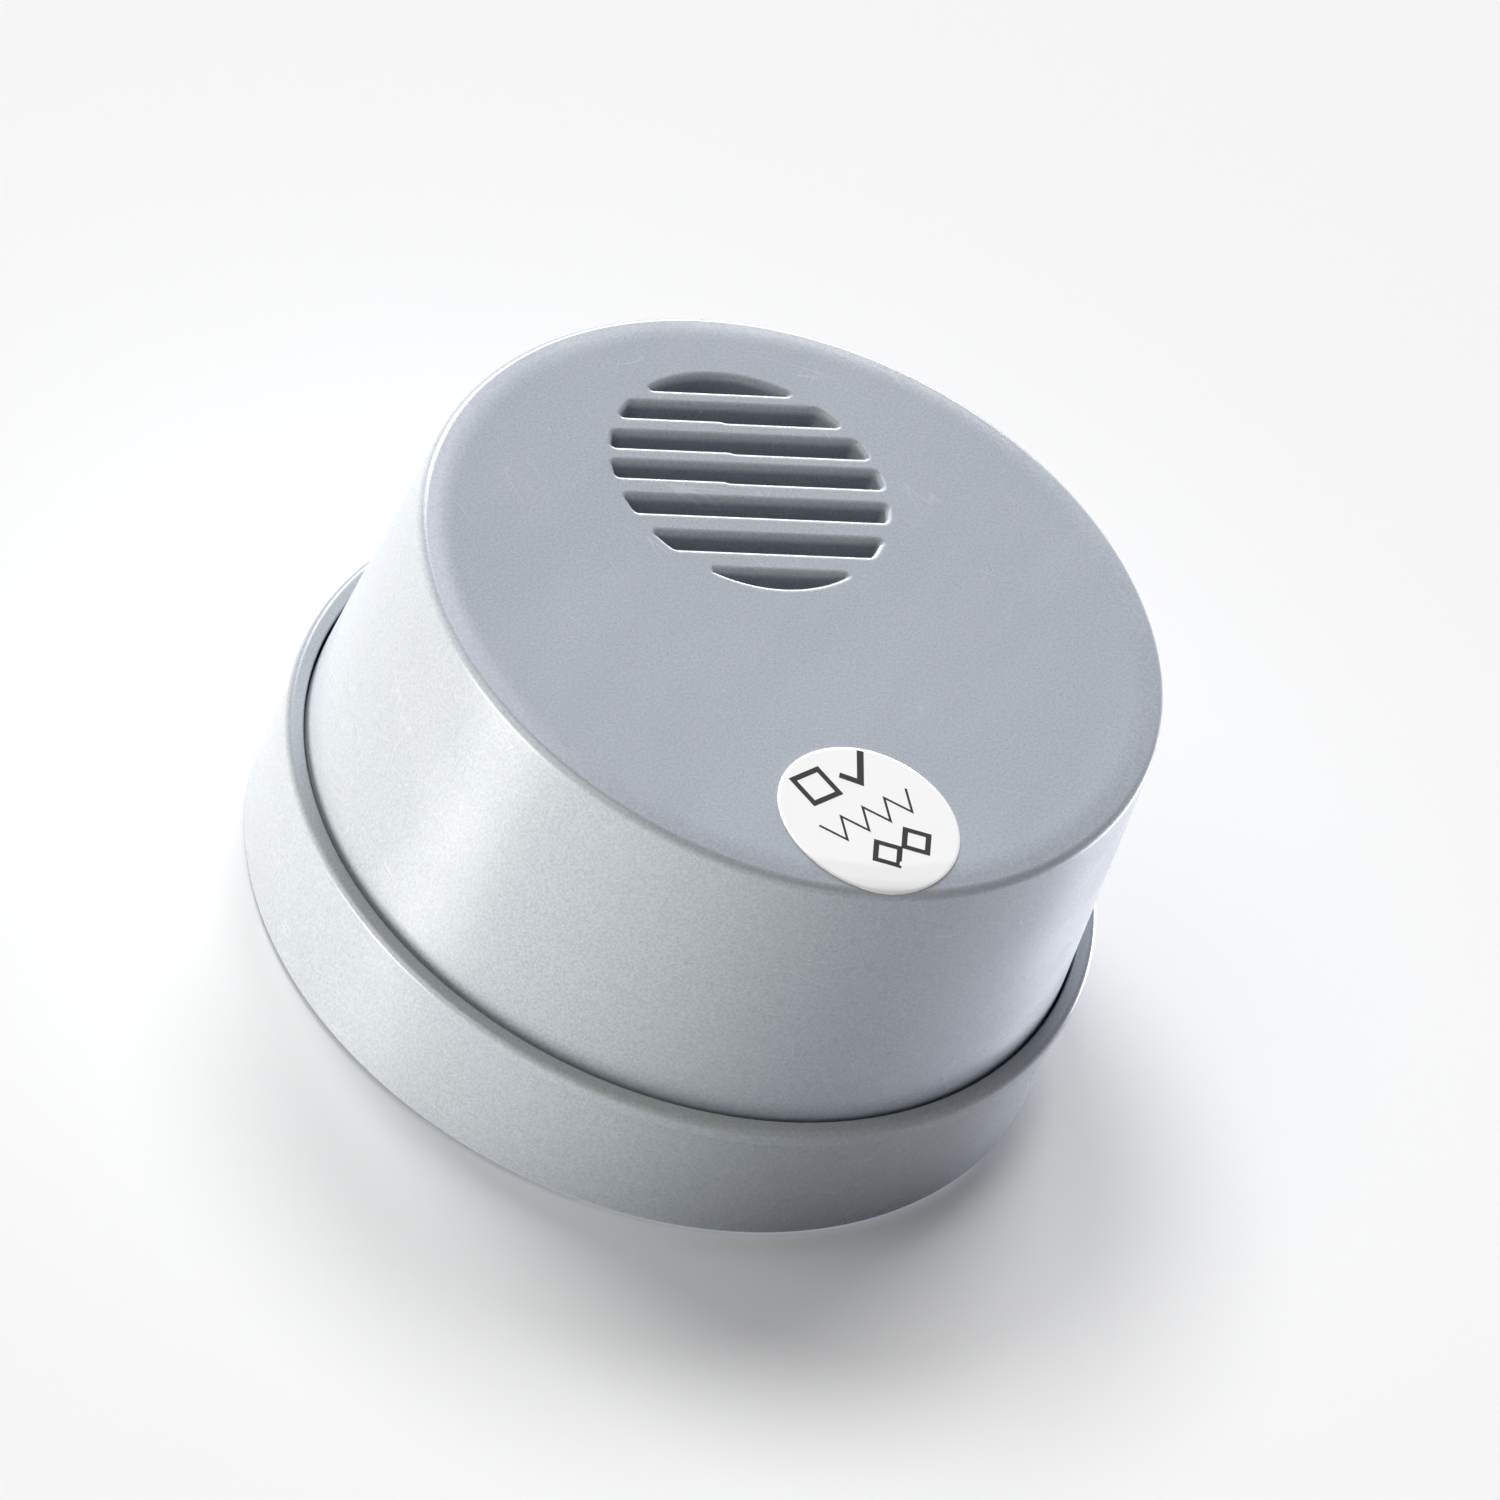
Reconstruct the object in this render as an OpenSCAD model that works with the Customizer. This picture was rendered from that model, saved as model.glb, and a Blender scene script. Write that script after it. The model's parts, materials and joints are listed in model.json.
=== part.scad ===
// Round battery-powered carbon monoxide detector: a push-to-test front cap with a slotted
// grille, a collar housing that holds the electronics, and a twist-off mounting plate.
// The origin is the centre of the mounting face, and +Z points out of the grille.

/* [Outer shell] */
// Outer radius of the collar's lip
lip_r = 30; // [29.8:0.1:30.4]
// Outer radius of the collar's wall just under the lip
collar_top_r = 29.7; // [29.6:0.05:29.8]
// Outer radius of the collar's wall at its foot
collar_foot_r = 29.8; // [29.6:0.05:30]
// Height of the lip's upper face
lip_z = 11; // [10.8:0.1:11.2]
// Clear gap all round between the collar and the front cap
cap_gap = 0.2; // [0.15:0.05:0.3]

/* [Front cap] */
// Outer radius of the cap at the collar
cap_base_r = 28.5; // [28.3:0.1:28.6]
// Outer radius of the cap at its face, before the edge is rounded
cap_face_r = 27.3; // [26.9:0.1:27.5]
// Height of the face above the mounting face
face_z = 33.2; // [33:0.1:34]
// Rounding of the face's edge
face_edge_r = 0.8; // [0.5:0.1:1]
// Thickness of the cap's wall
cap_wall = 1.6; // [1.4:0.1:1.8]
// Thickness of the cap's face
face_wall = 1.8; // [1.6:0.1:2]
// How far the cap can be pressed
press_travel = 0.7; // [0.5:0.1:0.7]

/* [Grille] */
// Radius of the round grille
grille_r = 10.05; // [9.5:0.05:10.25]
// Distance of the grille's centre to the right of the axis
grille_x = -0.4; // [-0.5:0.1:0]
// Distance of the grille's centre from the axis
grille_y = 11.2; // [10.6:0.1:11.4]
// Width of each slot
slot_w = 1.45; // [1.3:0.05:1.9]
// Height of the step where the two halves of a slot's lower edge meet
slot_step = 0.14; // [0.1:0.02:0.2]

/* [Inspection label] */
// Radius of the round label
label_r = 6.65; // [6:0.05:7]
// Distance of the label's centre from the axis
label_y = -20.5; // [-20.5:0.05:-20]
// Thickness of the label
label_t = 0.1; // [0.08:0.01:0.15]

/* [Battery] */
// Radius of the lithium cell
cell_r = 8.4; // [8.2:0.1:8.5]
// Length of the cell's can
cell_l = 33; // [32:0.5:33.5]

/* [Mounting plate] */
// Radius of the plate's disc
plate_r = 27.6; // [27.4:0.1:27.7]
// Thickness of the plate's disc
plate_t = 1.8; // [1.6:0.1:1.8]
// Distance between the two wall screw holes
screw_pitch = 32; // [31:1:33]
// Radius of each wall screw hole
screw_hole_r = 2.1; // [2:0.1:2.3]
// Angle covered by each bayonet lug
lug_angle = 24; // [20:1:26]

/* [Hidden] */
$fn = 96;

eps = 0.05;

// Collar
collar_foot_z = 0.3;
lip_t = 1.1;
lip_edge_r = 0.35;
collar_bore_r = cap_base_r + cap_gap;
collar_low_bore_r = 28;
collar_step_z = 6.2;
collar_depth = 4;

// Bayonet
lug_count = 3;
lug_first = 30;
lug_pitch = 360 / lug_count;
plate_lug_z = 3.8;
plate_lug_t = 1.2;
plate_ring_r = 26;
plate_ring_wall = 1.3;
plate_ring_top = plate_lug_z + plate_lug_t;
plate_bead_r = 13.2;
plate_boss_h = 0.6;
pad_r = 10.8;
pad_t = 0.6;
pad_hole_r = 4;
collar_lug_r = 26.3;
collar_lug_z = 2.2;
collar_lug_t = 1.3;
stop_angle = 3;
stop_gap_angle = 0.6;

// Chassis
floor_z = 6.4;
floor_t = 1.4;
floor_r = 28.4;
deck_z = 20.3;
deck_t = 1.3;
deck_top = deck_z + deck_t;
deck_r = 25;
cell_y = -3;
cell_z = 11.4;
well_half_x = 20;
well_half_y = 8.8;
well_wall = 1.3;
rib_t = 1.2;
rib_xs = [-10, 0, 10];
rib_foot_z = 14;
rib_end_y = 20;
contact_w = 4;
contact_t = 0.4;

// Guide posts of the cap and the screws that hold them
post_ring_r = 21.3;
post_angles = [30, 150, 270];
post_r = 2.45;
guide_bore_r = 2.53;
tube_r = 4;
tube_bore_r = 3.1;
post_foot_z = 20.2;
post_shoulder_z = 27.6;
post_shoulder_r = 4;
guide_head_r = 2.8;
guide_head_t = 1.4;
guide_screw_r = 1.1;
guide_screw_l = 6;

// Collar screws
tab_angles = [90, 222, 318];
tab_ring_r = 22.2;
tab_z = 5.2;
tab_r = 2.7;
chassis_screw_r = 1;
chassis_head_r = 1.9;
chassis_head_t = 0.9;
chassis_boss_r = 2.2;
chassis_boss_h = 5;
chassis_pilot_l = 4.6;
chassis_screw_l = 4;

// Circuit board
board_z = 23;
board_t = 1.6;
board_top = board_z + board_t;
board_r = 24.4;
board_screw_at = [[-12, -19.5], [12, -19.5], [-20.5, 3.5]];
board_screw_r = 0.9;
board_head_r = 1.7;
board_head_t = 1;

// Cap
skirt_z = 9.4;
face_under = face_z - face_wall;
draft = atan((cap_base_r - cap_face_r) / (face_z - lip_z));
slot_edges = [8.55, 5.7, 2.75, -0.1, -3.3, -6.7, -12];
slot_pitch = 3.4;
// Slots whose lower edge has a step, and where along them it is
stepped_slots = [1, 2, 3];
slot_step_xs = [-0.55, -0.65, -1.8];
mesh_opening_r = 10.25;
mesh_seat_h = 0.9;
mesh_t = 0.3;
rod_r = 2.2;

// Sounder
horn_r = 11;
horn_wall = 1;
horn_top = 29.6;
piezo_z = 26;
piezo_t = 0.25;
horn_mouth_r = 2.2;

// Gas sensor
sensor_at = [12.8, -6.8];
sensor_r = 5;
sensor_base_h = 0.9;
sensor_can_h = 4;
sensor_can_wall = 0.5;
sensor_window_r = 2;
sensor_cell_h = 1.6;
sensor_cell_z = board_top + sensor_base_h + 0.6;

// Test switch
switch_at = [0, -9];
switch_w = 6;
switch_h = 3.4;
plunger_r = 1.7;
switch_bore_z = 1.2;
plunger_foot_z = board_top + switch_bore_z + press_travel + 0.1;
plunger_top_z = 28.9;

// ---- shared shapes ----

// A ring of rectangular section
module ring(outer_r, inner_r, z, h) {
    translate([0, 0, z])
        difference() {
            cylinder(r = outer_r, h = h);
            translate([0, 0, -1])
                cylinder(r = inner_r, h = h + 2);
        }
}

// Part of a ring, from angle a0 and sweeping by sweep degrees
module arc_block(outer_r, inner_r, z, h, a0, sweep) {
    rotate([0, 0, a0])
        translate([0, 0, z])
            rotate_extrude(angle = sweep)
                translate([inner_r, 0])
                    square([outer_r - inner_r, h]);
}

// Children repeated at the given angles
module at_angles(angles) {
    for (a = angles)
        rotate([0, 0, a])
            children();
}

// A flat rectangular block with its own lower corner
module block(x0, x1, y0, y1, z0, z1) {
    translate([x0, y0, z0])
        cube([x1 - x0, y1 - y0, z1 - z0]);
}

// A pan-head screw that points up from its head
module screw_up(head_r, head_t, shank_r, shank_l, slot_d = 0.4) {
    difference() {
        union() {
            cylinder(r = head_r, h = head_t, $fn = 48);
            translate([0, 0, head_t - eps])
                cylinder(r = shank_r, h = shank_l + eps, $fn = 32);
        }
        for (a = [0, 90])
            rotate([0, 0, a])
                translate([-head_r * 0.6, -0.2, -1])
                    cube([head_r * 1.2, 0.4, 1 + slot_d]);
    }
}

// A coil spring as one swept tube, whose radius runs from r0 to r1
function coil_point(i, steps, r0, r1, h, turns) =
    let (t = i / steps, a = 360 * turns * t, r = r0 + (r1 - r0) * t)
    [r * cos(a), r * sin(a), h * t];

module coil(r0, r1, h, turns, wire_r) {
    per_turn = 20;
    sides = 8;
    steps = ceil(turns * per_turn);
    pts = [
        for (i = [0 : steps])
            let (p = coil_point(i, steps, r0, r1, h, turns), a = 360 * turns * i / steps)
            for (j = [0 : sides - 1])
                let (b = 360 * j / sides)
                [p[0] + wire_r * cos(b) * cos(a), p[1] + wire_r * cos(b) * sin(a), p[2] + wire_r * sin(b)]
    ];
    walls = [
        for (i = [0 : steps - 1])
            for (j = [0 : sides - 1])
                let (k = (j + 1) % sides)
                [i * sides + j, i * sides + k, (i + 1) * sides + k, (i + 1) * sides + j]
    ];
    start = [for (j = [0 : sides - 1]) sides - 1 - j];
    end = [for (j = [0 : sides - 1]) steps * sides + j];
    polyhedron(points = pts, faces = concat(walls, [start, end]), convexity = 10);
}

// ---- back plate ----

module back_plate() {
    color("#e9e7cf")
        difference() {
            union() {
                cylinder(r = plate_r, h = plate_t);
                ring(plate_ring_r, plate_ring_r - plate_ring_wall, plate_t - eps,
                    plate_ring_top - plate_t + eps);
                for (i = [0 : lug_count - 1])
                    arc_block(plate_r, plate_ring_r - 0.4, plate_lug_z, plate_lug_t,
                        lug_first + i * lug_pitch - lug_angle / 2, lug_angle);
                for (s = [-1, 1])
                    translate([0, s * screw_pitch / 2, 0])
                        cylinder(r = screw_hole_r + 2, h = plate_t + plate_boss_h);
                ring(plate_bead_r, plate_bead_r - 1, plate_t - eps, 0.5);
            }
            for (s = [-1, 1])
                translate([0, s * screw_pitch / 2, -1])
                    cylinder(r = screw_hole_r, h = plate_t + 4);
            // Shallow recess for the foam pad
            translate([0, 0, -1])
                cylinder(r = pad_r + 0.2, h = 1 + pad_t);
        }
}

// Foam pad that keeps the plate from rocking on a rough wall
module plate_pad() {
    color("#4a4d52")
        difference() {
            cylinder(r = pad_r, h = pad_t);
            translate([0, 0, -1])
                cylinder(r = pad_hole_r, h = pad_t + 2);
        }
}

// ---- collar ----

module collar_section() {
    difference() {
        union() {
            polygon([
                [collar_bore_r - collar_depth, collar_foot_z],
                [collar_foot_r - 0.4, collar_foot_z],
                [collar_foot_r, collar_foot_z + 0.4],
                [collar_top_r, lip_z - lip_t],
                [lip_r - 0.15, lip_z - lip_t + 0.05],
                [lip_r, lip_z - lip_t + 0.2],
                [lip_r, lip_z - lip_edge_r],
                [lip_r - lip_edge_r, lip_z],
                [collar_bore_r - collar_depth, lip_z]
            ]);
            translate([lip_r - lip_edge_r, lip_z - lip_edge_r])
                circle(r = lip_edge_r, $fn = 32);
        }
        translate([0, -1])
            square([collar_low_bore_r, lip_z + 2]);
        translate([0, collar_step_z])
            square([collar_bore_r, lip_z]);
    }
}

module collar() {
    color("#abb1ba")
        difference() {
            union() {
                rotate_extrude()
                    collar_section();
                for (i = [0 : lug_count - 1])
                    rotate([0, 0, lug_first + i * lug_pitch]) {
                        // Lug, then the stop that the plate's lug turns against
                        arc_block(collar_low_bore_r + 0.5, collar_lug_r, collar_lug_z, collar_lug_t,
                            -lug_angle / 2, lug_angle + stop_gap_angle + stop_angle + 0.5);
                        arc_block(collar_low_bore_r + 0.4, collar_lug_r + 0.1, collar_lug_z + 0.4,
                            plate_ring_top - collar_lug_z - 0.4, lug_angle / 2 + stop_gap_angle,
                            stop_angle);
                    }
                for (a = tab_angles)
                    rotate([0, 0, a])
                        translate([tab_ring_r, 0, tab_z]) {
                            cylinder(r = tab_r, h = floor_z - tab_z, $fn = 48);
                            translate([0, -tab_r + 0.3, 0])
                                cube([collar_low_bore_r - tab_ring_r + 0.3, 2 * (tab_r - 0.3),
                                    floor_z - tab_z]);
                        }
            }
            for (a = tab_angles)
                rotate([0, 0, a])
                    translate([tab_ring_r, 0, tab_z - 1])
                        cylinder(r = chassis_screw_r + 0.15, h = 4, $fn = 32);
        }
}

// ---- chassis ----

module chassis() {
    color("#3d4147")
        difference() {
            union() {
                translate([0, 0, floor_z])
                    cylinder(r = floor_r, h = floor_t);
                translate([0, 0, deck_z])
                    cylinder(r = deck_r, h = deck_t);
                // Battery well
                block(-well_half_x - well_wall, well_half_x + well_wall, cell_y - well_half_y - well_wall,
                    cell_y + well_half_y + well_wall, floor_z, deck_z + eps);
                // Tubes over the guide screws
                at_angles(post_angles)
                    translate([post_ring_r, 0, floor_z])
                        cylinder(r = tube_r, h = deck_z - floor_z + eps, $fn = 48);
                // Bosses for the collar screws
                at_angles(tab_angles)
                    translate([tab_ring_r, 0, floor_z])
                        cylinder(r = chassis_boss_r, h = chassis_boss_h, $fn = 48);
                // Board supports on the deck
                for (p = board_screw_at)
                    translate([p[0], p[1], deck_top - eps])
                        cylinder(r = 2, h = board_z - deck_top + eps, $fn = 48);
                // Stiffening ribs under the deck
                for (x = rib_xs)
                    block(x - rib_t / 2, x + rib_t / 2, cell_y + well_half_y + well_wall - eps, rib_end_y,
                        rib_foot_z, deck_z + eps);
            }
            block(-well_half_x, well_half_x, cell_y - well_half_y, cell_y + well_half_y,
                floor_z - 1, deck_z);
            at_angles(post_angles) {
                translate([post_ring_r, 0, floor_z - 1])
                    cylinder(r = tube_bore_r, h = deck_z - floor_z + 1, $fn = 48);
                translate([post_ring_r, 0, deck_z - 1])
                    cylinder(r = guide_bore_r, h = deck_t + 2, $fn = 48);
            }
            at_angles(tab_angles)
                translate([tab_ring_r, 0, floor_z - 1])
                    cylinder(r = chassis_screw_r, h = chassis_pilot_l, $fn = 32);
            for (p = board_screw_at)
                translate([p[0], p[1], deck_top - 1])
                    cylinder(r = board_screw_r, h = 4, $fn = 32);
            // Slots for the two battery contacts
            for (s = [-1, 1])
                translate([s * (well_half_x - 0.5) - contact_t, cell_y - contact_w / 2 - 0.2, deck_z - 1])
                    cube([2 * contact_t, contact_w + 0.4, deck_t + 2]);
        }
}

module chassis_screws() {
    color("silver")
        at_angles(tab_angles)
            translate([tab_ring_r, 0, tab_z - chassis_head_t])
                screw_up(chassis_head_r, chassis_head_t, chassis_screw_r, chassis_screw_l);
}

// ---- front cap ----

// Radius of the cap's drafted wall at height z
function wall_r(z) = cap_base_r - (z - lip_z) * tan(draft);

// Half section of the solid cap, grown outward by grow
module cap_outline(grow = 0) {
    edge = face_edge_r;
    cx = wall_r(face_z - edge) - edge / cos(draft);
    cz = face_z - edge;
    r = edge + grow;
    polygon([
        [0, skirt_z],
        [cap_base_r + grow, skirt_z],
        [cap_base_r + grow, lip_z - 0.6],
        [wall_r(lip_z - 0.6) + grow / cos(draft) - 0.03, lip_z - 0.6],
        [cx + r * cos(draft), cz + r * sin(draft)],
        [cx, cz],
        [cx, face_z + grow],
        [0, face_z + grow]
    ]);
    intersection() {
        translate([cx, cz])
            circle(r = r, $fn = 96);
        translate([cx, cz])
            square([r + 1, r + 1]);
    }
}

// Hollow of the cap, open at the skirt
module cap_hollow() {
    polygon([
        [0, skirt_z - 1],
        [cap_base_r - cap_wall, skirt_z - 1],
        [wall_r(lip_z) - cap_wall, lip_z],
        [wall_r(face_under) - cap_wall, face_under - 1],
        [wall_r(face_under) - cap_wall - 1, face_under],
        [0, face_under]
    ]);
}

// One slot of the grille, whose lower edge is at height low above the grille's centre
module slot(i) {
    low = slot_edges[i];
    high = i == 0 ? grille_r + 1
        : i < len(slot_edges) - 1 ? low + slot_w
        : slot_edges[i - 1] - slot_pitch + slot_w;
    step = search(i, stepped_slots);
    if (len(step) > 0) {
        step_x = slot_step_xs[step[0]];
        translate([-grille_r - 1, low + slot_step])
            square([grille_r + 1 + step_x, high - low - slot_step]);
        translate([step_x - eps, low])
            square([grille_r + 1 - step_x + eps, high - low]);
    } else {
        translate([-grille_r - 1, low])
            square([2 * grille_r + 2, high - low]);
    }
}

module front_cap() {
    color("#abb1ba")
        difference() {
            union() {
                difference() {
                    rotate_extrude()
                        cap_outline();
                    rotate_extrude()
                        cap_hollow();
                }
                // Guide posts
                at_angles(post_angles) {
                    translate([post_ring_r, 0, post_foot_z])
                        cylinder(r = post_r, h = face_under - post_foot_z + eps, $fn = 48);
                    translate([post_ring_r, 0, post_shoulder_z])
                        cylinder(r = post_shoulder_r, h = face_under - post_shoulder_z + eps, $fn = 48);
                }
                // Rod that presses the test switch
                translate([switch_at[0], switch_at[1], plunger_top_z + eps])
                    cylinder(r = rod_r, h = face_under - plunger_top_z, $fn = 48);
                // Seat round the grille for the dust mesh
                translate([0, grille_y, 0])
                    ring(mesh_opening_r + 2.3, mesh_opening_r + 1.5, face_under - mesh_seat_h,
                        mesh_seat_h + eps);
            }
            translate([grille_x, grille_y, face_under - 1])
                linear_extrude(face_wall + 2)
                    intersection() {
                        circle(r = grille_r);
                        for (i = [0 : len(slot_edges) - 1])
                            slot(i);
                    }
            at_angles(post_angles)
                translate([post_ring_r, 0, post_foot_z - 1])
                    cylinder(r = guide_screw_r, h = guide_screw_l + 1.5, $fn = 32);
        }
}

module cap_guide_screws() {
    color("silver")
        at_angles(post_angles)
            translate([post_ring_r, 0, post_foot_z - guide_head_t])
                screw_up(guide_head_r, guide_head_t, guide_screw_r, guide_screw_l);
}

module cap_return_springs() {
    wire = 0.28;
    color("gainsboro")
        at_angles(post_angles)
            translate([post_ring_r, 0, deck_top + wire])
                coil(3.05, 3.05, post_shoulder_z - deck_top - 2 * wire, 4.5, wire);
}

module inspection_label() {
    color("white")
        difference() {
            intersection() {
                rotate_extrude()
                    cap_outline(label_t);
                translate([0, label_y, face_z - 4])
                    cylinder(r = label_r, h = 8);
            }
            rotate_extrude()
                cap_outline();
        }
}

module dust_mesh() {
    color("#26282b")
        translate([0, grille_y, face_under - mesh_t])
            cylinder(r = mesh_opening_r + 1.3, h = mesh_t);
}

module mesh_ring() {
    color("#8c9299")
        translate([0, grille_y, 0])
            ring(mesh_opening_r + 1.4, mesh_opening_r + 0.3, face_under - mesh_seat_h,
                mesh_seat_h - mesh_t);
}

// ---- circuit board and what is on it ----

module circuit_board() {
    color("#1f6b46")
        difference() {
            translate([0, 0, board_z])
                cylinder(r = board_r, h = board_t);
            at_angles(post_angles)
                translate([post_ring_r, 0, board_z - 1])
                    cylinder(r = post_shoulder_r + 0.4, h = board_t + 2, $fn = 48);
            for (p = board_screw_at)
                translate([p[0], p[1], board_z - 1])
                    cylinder(r = board_screw_r + 0.15, h = board_t + 2, $fn = 32);
            for (s = [-1, 1])
                translate([s * (well_half_x - 0.5) - 0.35, cell_y - contact_w / 2 - 0.2, board_z - 1])
                    cube([0.7, contact_w + 0.4, board_t + 2]);
        }
}

module board_screws() {
    color("silver")
        for (p = board_screw_at)
            translate([p[0], p[1], board_top + board_head_t])
                rotate([180, 0, 0])
                    screw_up(board_head_r, board_head_t, board_screw_r, board_t + 0.7);
}

module sounder_body() {
    color("#17181a")
        translate([0, grille_y, 0]) {
            ring(horn_r, horn_r - horn_wall, board_top, horn_top - board_top);
            ring(horn_r - horn_wall + eps, horn_r - 2.4, board_top, piezo_z - board_top);
        }
}

module sounder_lid() {
    color("#17181a")
        translate([0, grille_y, 0]) {
            ring(horn_r - horn_wall - eps, horn_mouth_r, horn_top - 1, 0.8);
            ring(horn_mouth_r + 1, horn_mouth_r, horn_top - 2, 1 + eps);
        }
}

module piezo_plate() {
    color("goldenrod")
        translate([0, grille_y, piezo_z])
            cylinder(r = horn_r - horn_wall - 0.1, h = piezo_t);
}

module piezo_ceramic() {
    color("gainsboro")
        translate([0, grille_y, piezo_z + piezo_t])
            cylinder(r = 6.6, h = 0.2);
}

// Two short wires from the sounder's element to the board
module sounder_leads() {
    color("firebrick")
        for (s = [-1, 1])
            translate([s * 3, grille_y - 5, board_top])
                cylinder(r = 0.35, h = piezo_z - board_top, $fn = 24);
}

module sensor_base() {
    color("#202226")
        translate([sensor_at[0], sensor_at[1], board_top])
            cylinder(r = sensor_r + 0.3, h = sensor_base_h);
}

module sensor_can() {
    color("lightgray")
        translate([sensor_at[0], sensor_at[1], 0])
            difference() {
                translate([0, 0, board_top + sensor_base_h])
                    cylinder(r = sensor_r, h = sensor_can_h);
                translate([0, 0, sensor_cell_z])
                    cylinder(r = sensor_r - sensor_can_wall, h = 2.8);
                translate([0, 0, sensor_cell_z + sensor_cell_h])
                    cylinder(r = sensor_window_r, h = sensor_can_h);
            }
}

// Gas cell inside the can, with a charcoal filter over it
module sensor_cell() {
    color("white")
        translate([sensor_at[0], sensor_at[1], sensor_cell_z])
            cylinder(r = sensor_r - sensor_can_wall - eps, h = sensor_cell_h);
}

module sensor_filter() {
    color("#2a2c2f")
        translate([sensor_at[0], sensor_at[1], sensor_cell_z + sensor_cell_h])
            cylinder(r = sensor_r - sensor_can_wall - eps, h = 1.2);
}

module switch_body() {
    color("#1c1d20")
        translate([switch_at[0], switch_at[1], 0])
            difference() {
                block(-switch_w / 2, switch_w / 2, -switch_w / 2, switch_w / 2,
                    board_top, board_top + switch_h - 0.3);
                translate([0, 0, board_top + switch_bore_z])
                    cylinder(r = plunger_r + 0.1, h = switch_h, $fn = 48);
            }
}

module switch_cover() {
    color("silver")
        translate([switch_at[0], switch_at[1], 0])
            difference() {
                block(-switch_w / 2, switch_w / 2, -switch_w / 2, switch_w / 2,
                    board_top + switch_h - 0.3, board_top + switch_h);
                cylinder(r = plunger_r + 0.3, h = 60, $fn = 48);
            }
}

module switch_plunger() {
    color("#3a3c40")
        translate([switch_at[0], switch_at[1], plunger_foot_z])
            cylinder(r = plunger_r, h = plunger_top_z - plunger_foot_z, $fn = 48);
}

// Square chip with legs on two sides
module chip(x, y, w, d, h, pitch, legs) {
    leg_h = 0.3;
    translate([x, y, board_top])
        union() {
            block(-w / 2, w / 2, -d / 2, d / 2, 0.1, h);
            for (s = [-1, 1])
                for (i = [0 : legs - 1])
                    translate([s * (w / 2 + 0.35) - 0.4, (i - (legs - 1) / 2) * pitch - 0.15, 0])
                        cube([0.8, 0.3, leg_h]);
        }
}

module controller_chip() {
    color("#1a1b1e")
        chip(-14, -8.5, 6.4, 6.4, 1.1, 0.8, 7);
}

module driver_chip() {
    color("#1a1b1e")
        chip(-7.5, -15.5, 3.9, 4.9, 1.4, 1.27, 4);
}

module step_up_coil() {
    color("#55585c")
        translate([6.5, -16, board_top])
            difference() {
                cylinder(r = 3.1, h = 3.4);
                ring(3.3, 2, 0.6, 2);
            }
}

module storage_capacitor() {
    color("silver")
        translate([0.5, -14.8, board_top])
            union() {
                block(-1.5, 1.5, -1.6, 1.6, 0, 0.8);
                translate([0, 0, 0.8 - eps])
                    cylinder(r = 1.9, h = 3.6);
            }
}

module chip_parts() {
    sizes = [1.6, 0.8, 0.55];
    spots = [
        [-8.5, -8], [-8.5, -10], [-6, -8], [-6, -10], [-18, -4], [-15.5, -3.2],
        [-13, -3.2], [-3, -14.5], [6, -8.5], [6, -11], [9, -12.5], [17.5, -13],
        [15, -14.5], [-19, -12.5], [-12.5, -14.5], [8.2, -1.6]
    ];
    color("#b9a987")
        for (p = spots)
            translate([p[0] - sizes[0] / 2, p[1] - sizes[1] / 2, board_top])
                cube(sizes);
}

// Small surface-mounted lamp with a domed lens
module lamp(x, y) {
    translate([x, y, board_top])
        union() {
            block(-1.6, 1.6, -0.8, 0.8, 0, 0.7);
            translate([0, 0, 0.7])
                intersection() {
                    sphere(r = 0.75, $fn = 32);
                    translate([-1, -1, -0.2])
                        cube([2, 2, 2]);
                }
        }
}

module alarm_led() {
    color("#d02020")
        lamp(-4.5, -2.4);
}

module power_led() {
    color("#30b050")
        lamp(0, -2.4);
}

module fault_led() {
    color("#e0b020")
        lamp(4.5, -2.4);
}

// ---- battery ----

module battery_cell() {
    color("#2f4f8f")
        translate([-cell_l / 2 - 0.6, cell_y, cell_z])
            rotate([0, 90, 0])
                cylinder(r = cell_r, h = cell_l);
}

module battery_terminal() {
    color("silver")
        translate([cell_l / 2 - 0.6, cell_y, cell_z])
            rotate([0, 90, 0])
                cylinder(r = 3, h = 1.6);
}

// Flat part of a battery contact, with a tongue that reaches the board
module contact_strip(x) {
    shoulder_z = 17.5;
    block(x, x + contact_t, cell_y - 5.5, cell_y + 5.5, floor_z + 0.4, shoulder_z);
    block(x, x + contact_t, cell_y - contact_w / 2, cell_y + contact_w / 2, shoulder_z - 0.1,
        board_top + 0.5);
}

module contact_plate() {
    x = well_half_x - 0.7;
    color("silver")
        union() {
            contact_strip(x);
            translate([cell_l / 2 + 1, cell_y, cell_z])
                rotate([0, 90, 0])
                    cylinder(r = 2, h = x - cell_l / 2 - 1 + eps, $fn = 48);
        }
}

module contact_spring() {
    x = -well_half_x + 0.3;
    gap = -cell_l / 2 - 0.6 - x - 0.4;
    wire = 0.3;
    color("silver")
        union() {
            contact_strip(x);
            translate([x + 0.4 + wire * 0.8, cell_y, cell_z])
                rotate([0, 90, 0])
                    coil(4.6, 2.6, gap - wire * 1.9, 2.5, wire);
        }
}

back_plate();
plate_pad();
collar();
chassis();
chassis_screws();
front_cap();
cap_guide_screws();
cap_return_springs();
inspection_label();
dust_mesh();
mesh_ring();
circuit_board();
board_screws();
sounder_body();
sounder_lid();
piezo_plate();
piezo_ceramic();
sounder_leads();
sensor_base();
sensor_can();
sensor_cell();
sensor_filter();
switch_body();
switch_cover();
switch_plunger();
controller_chip();
driver_chip();
step_up_coil();
storage_capacitor();
chip_parts();
alarm_led();
power_led();
fault_led();
battery_cell();
battery_terminal();
contact_plate();
contact_spring();
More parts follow.
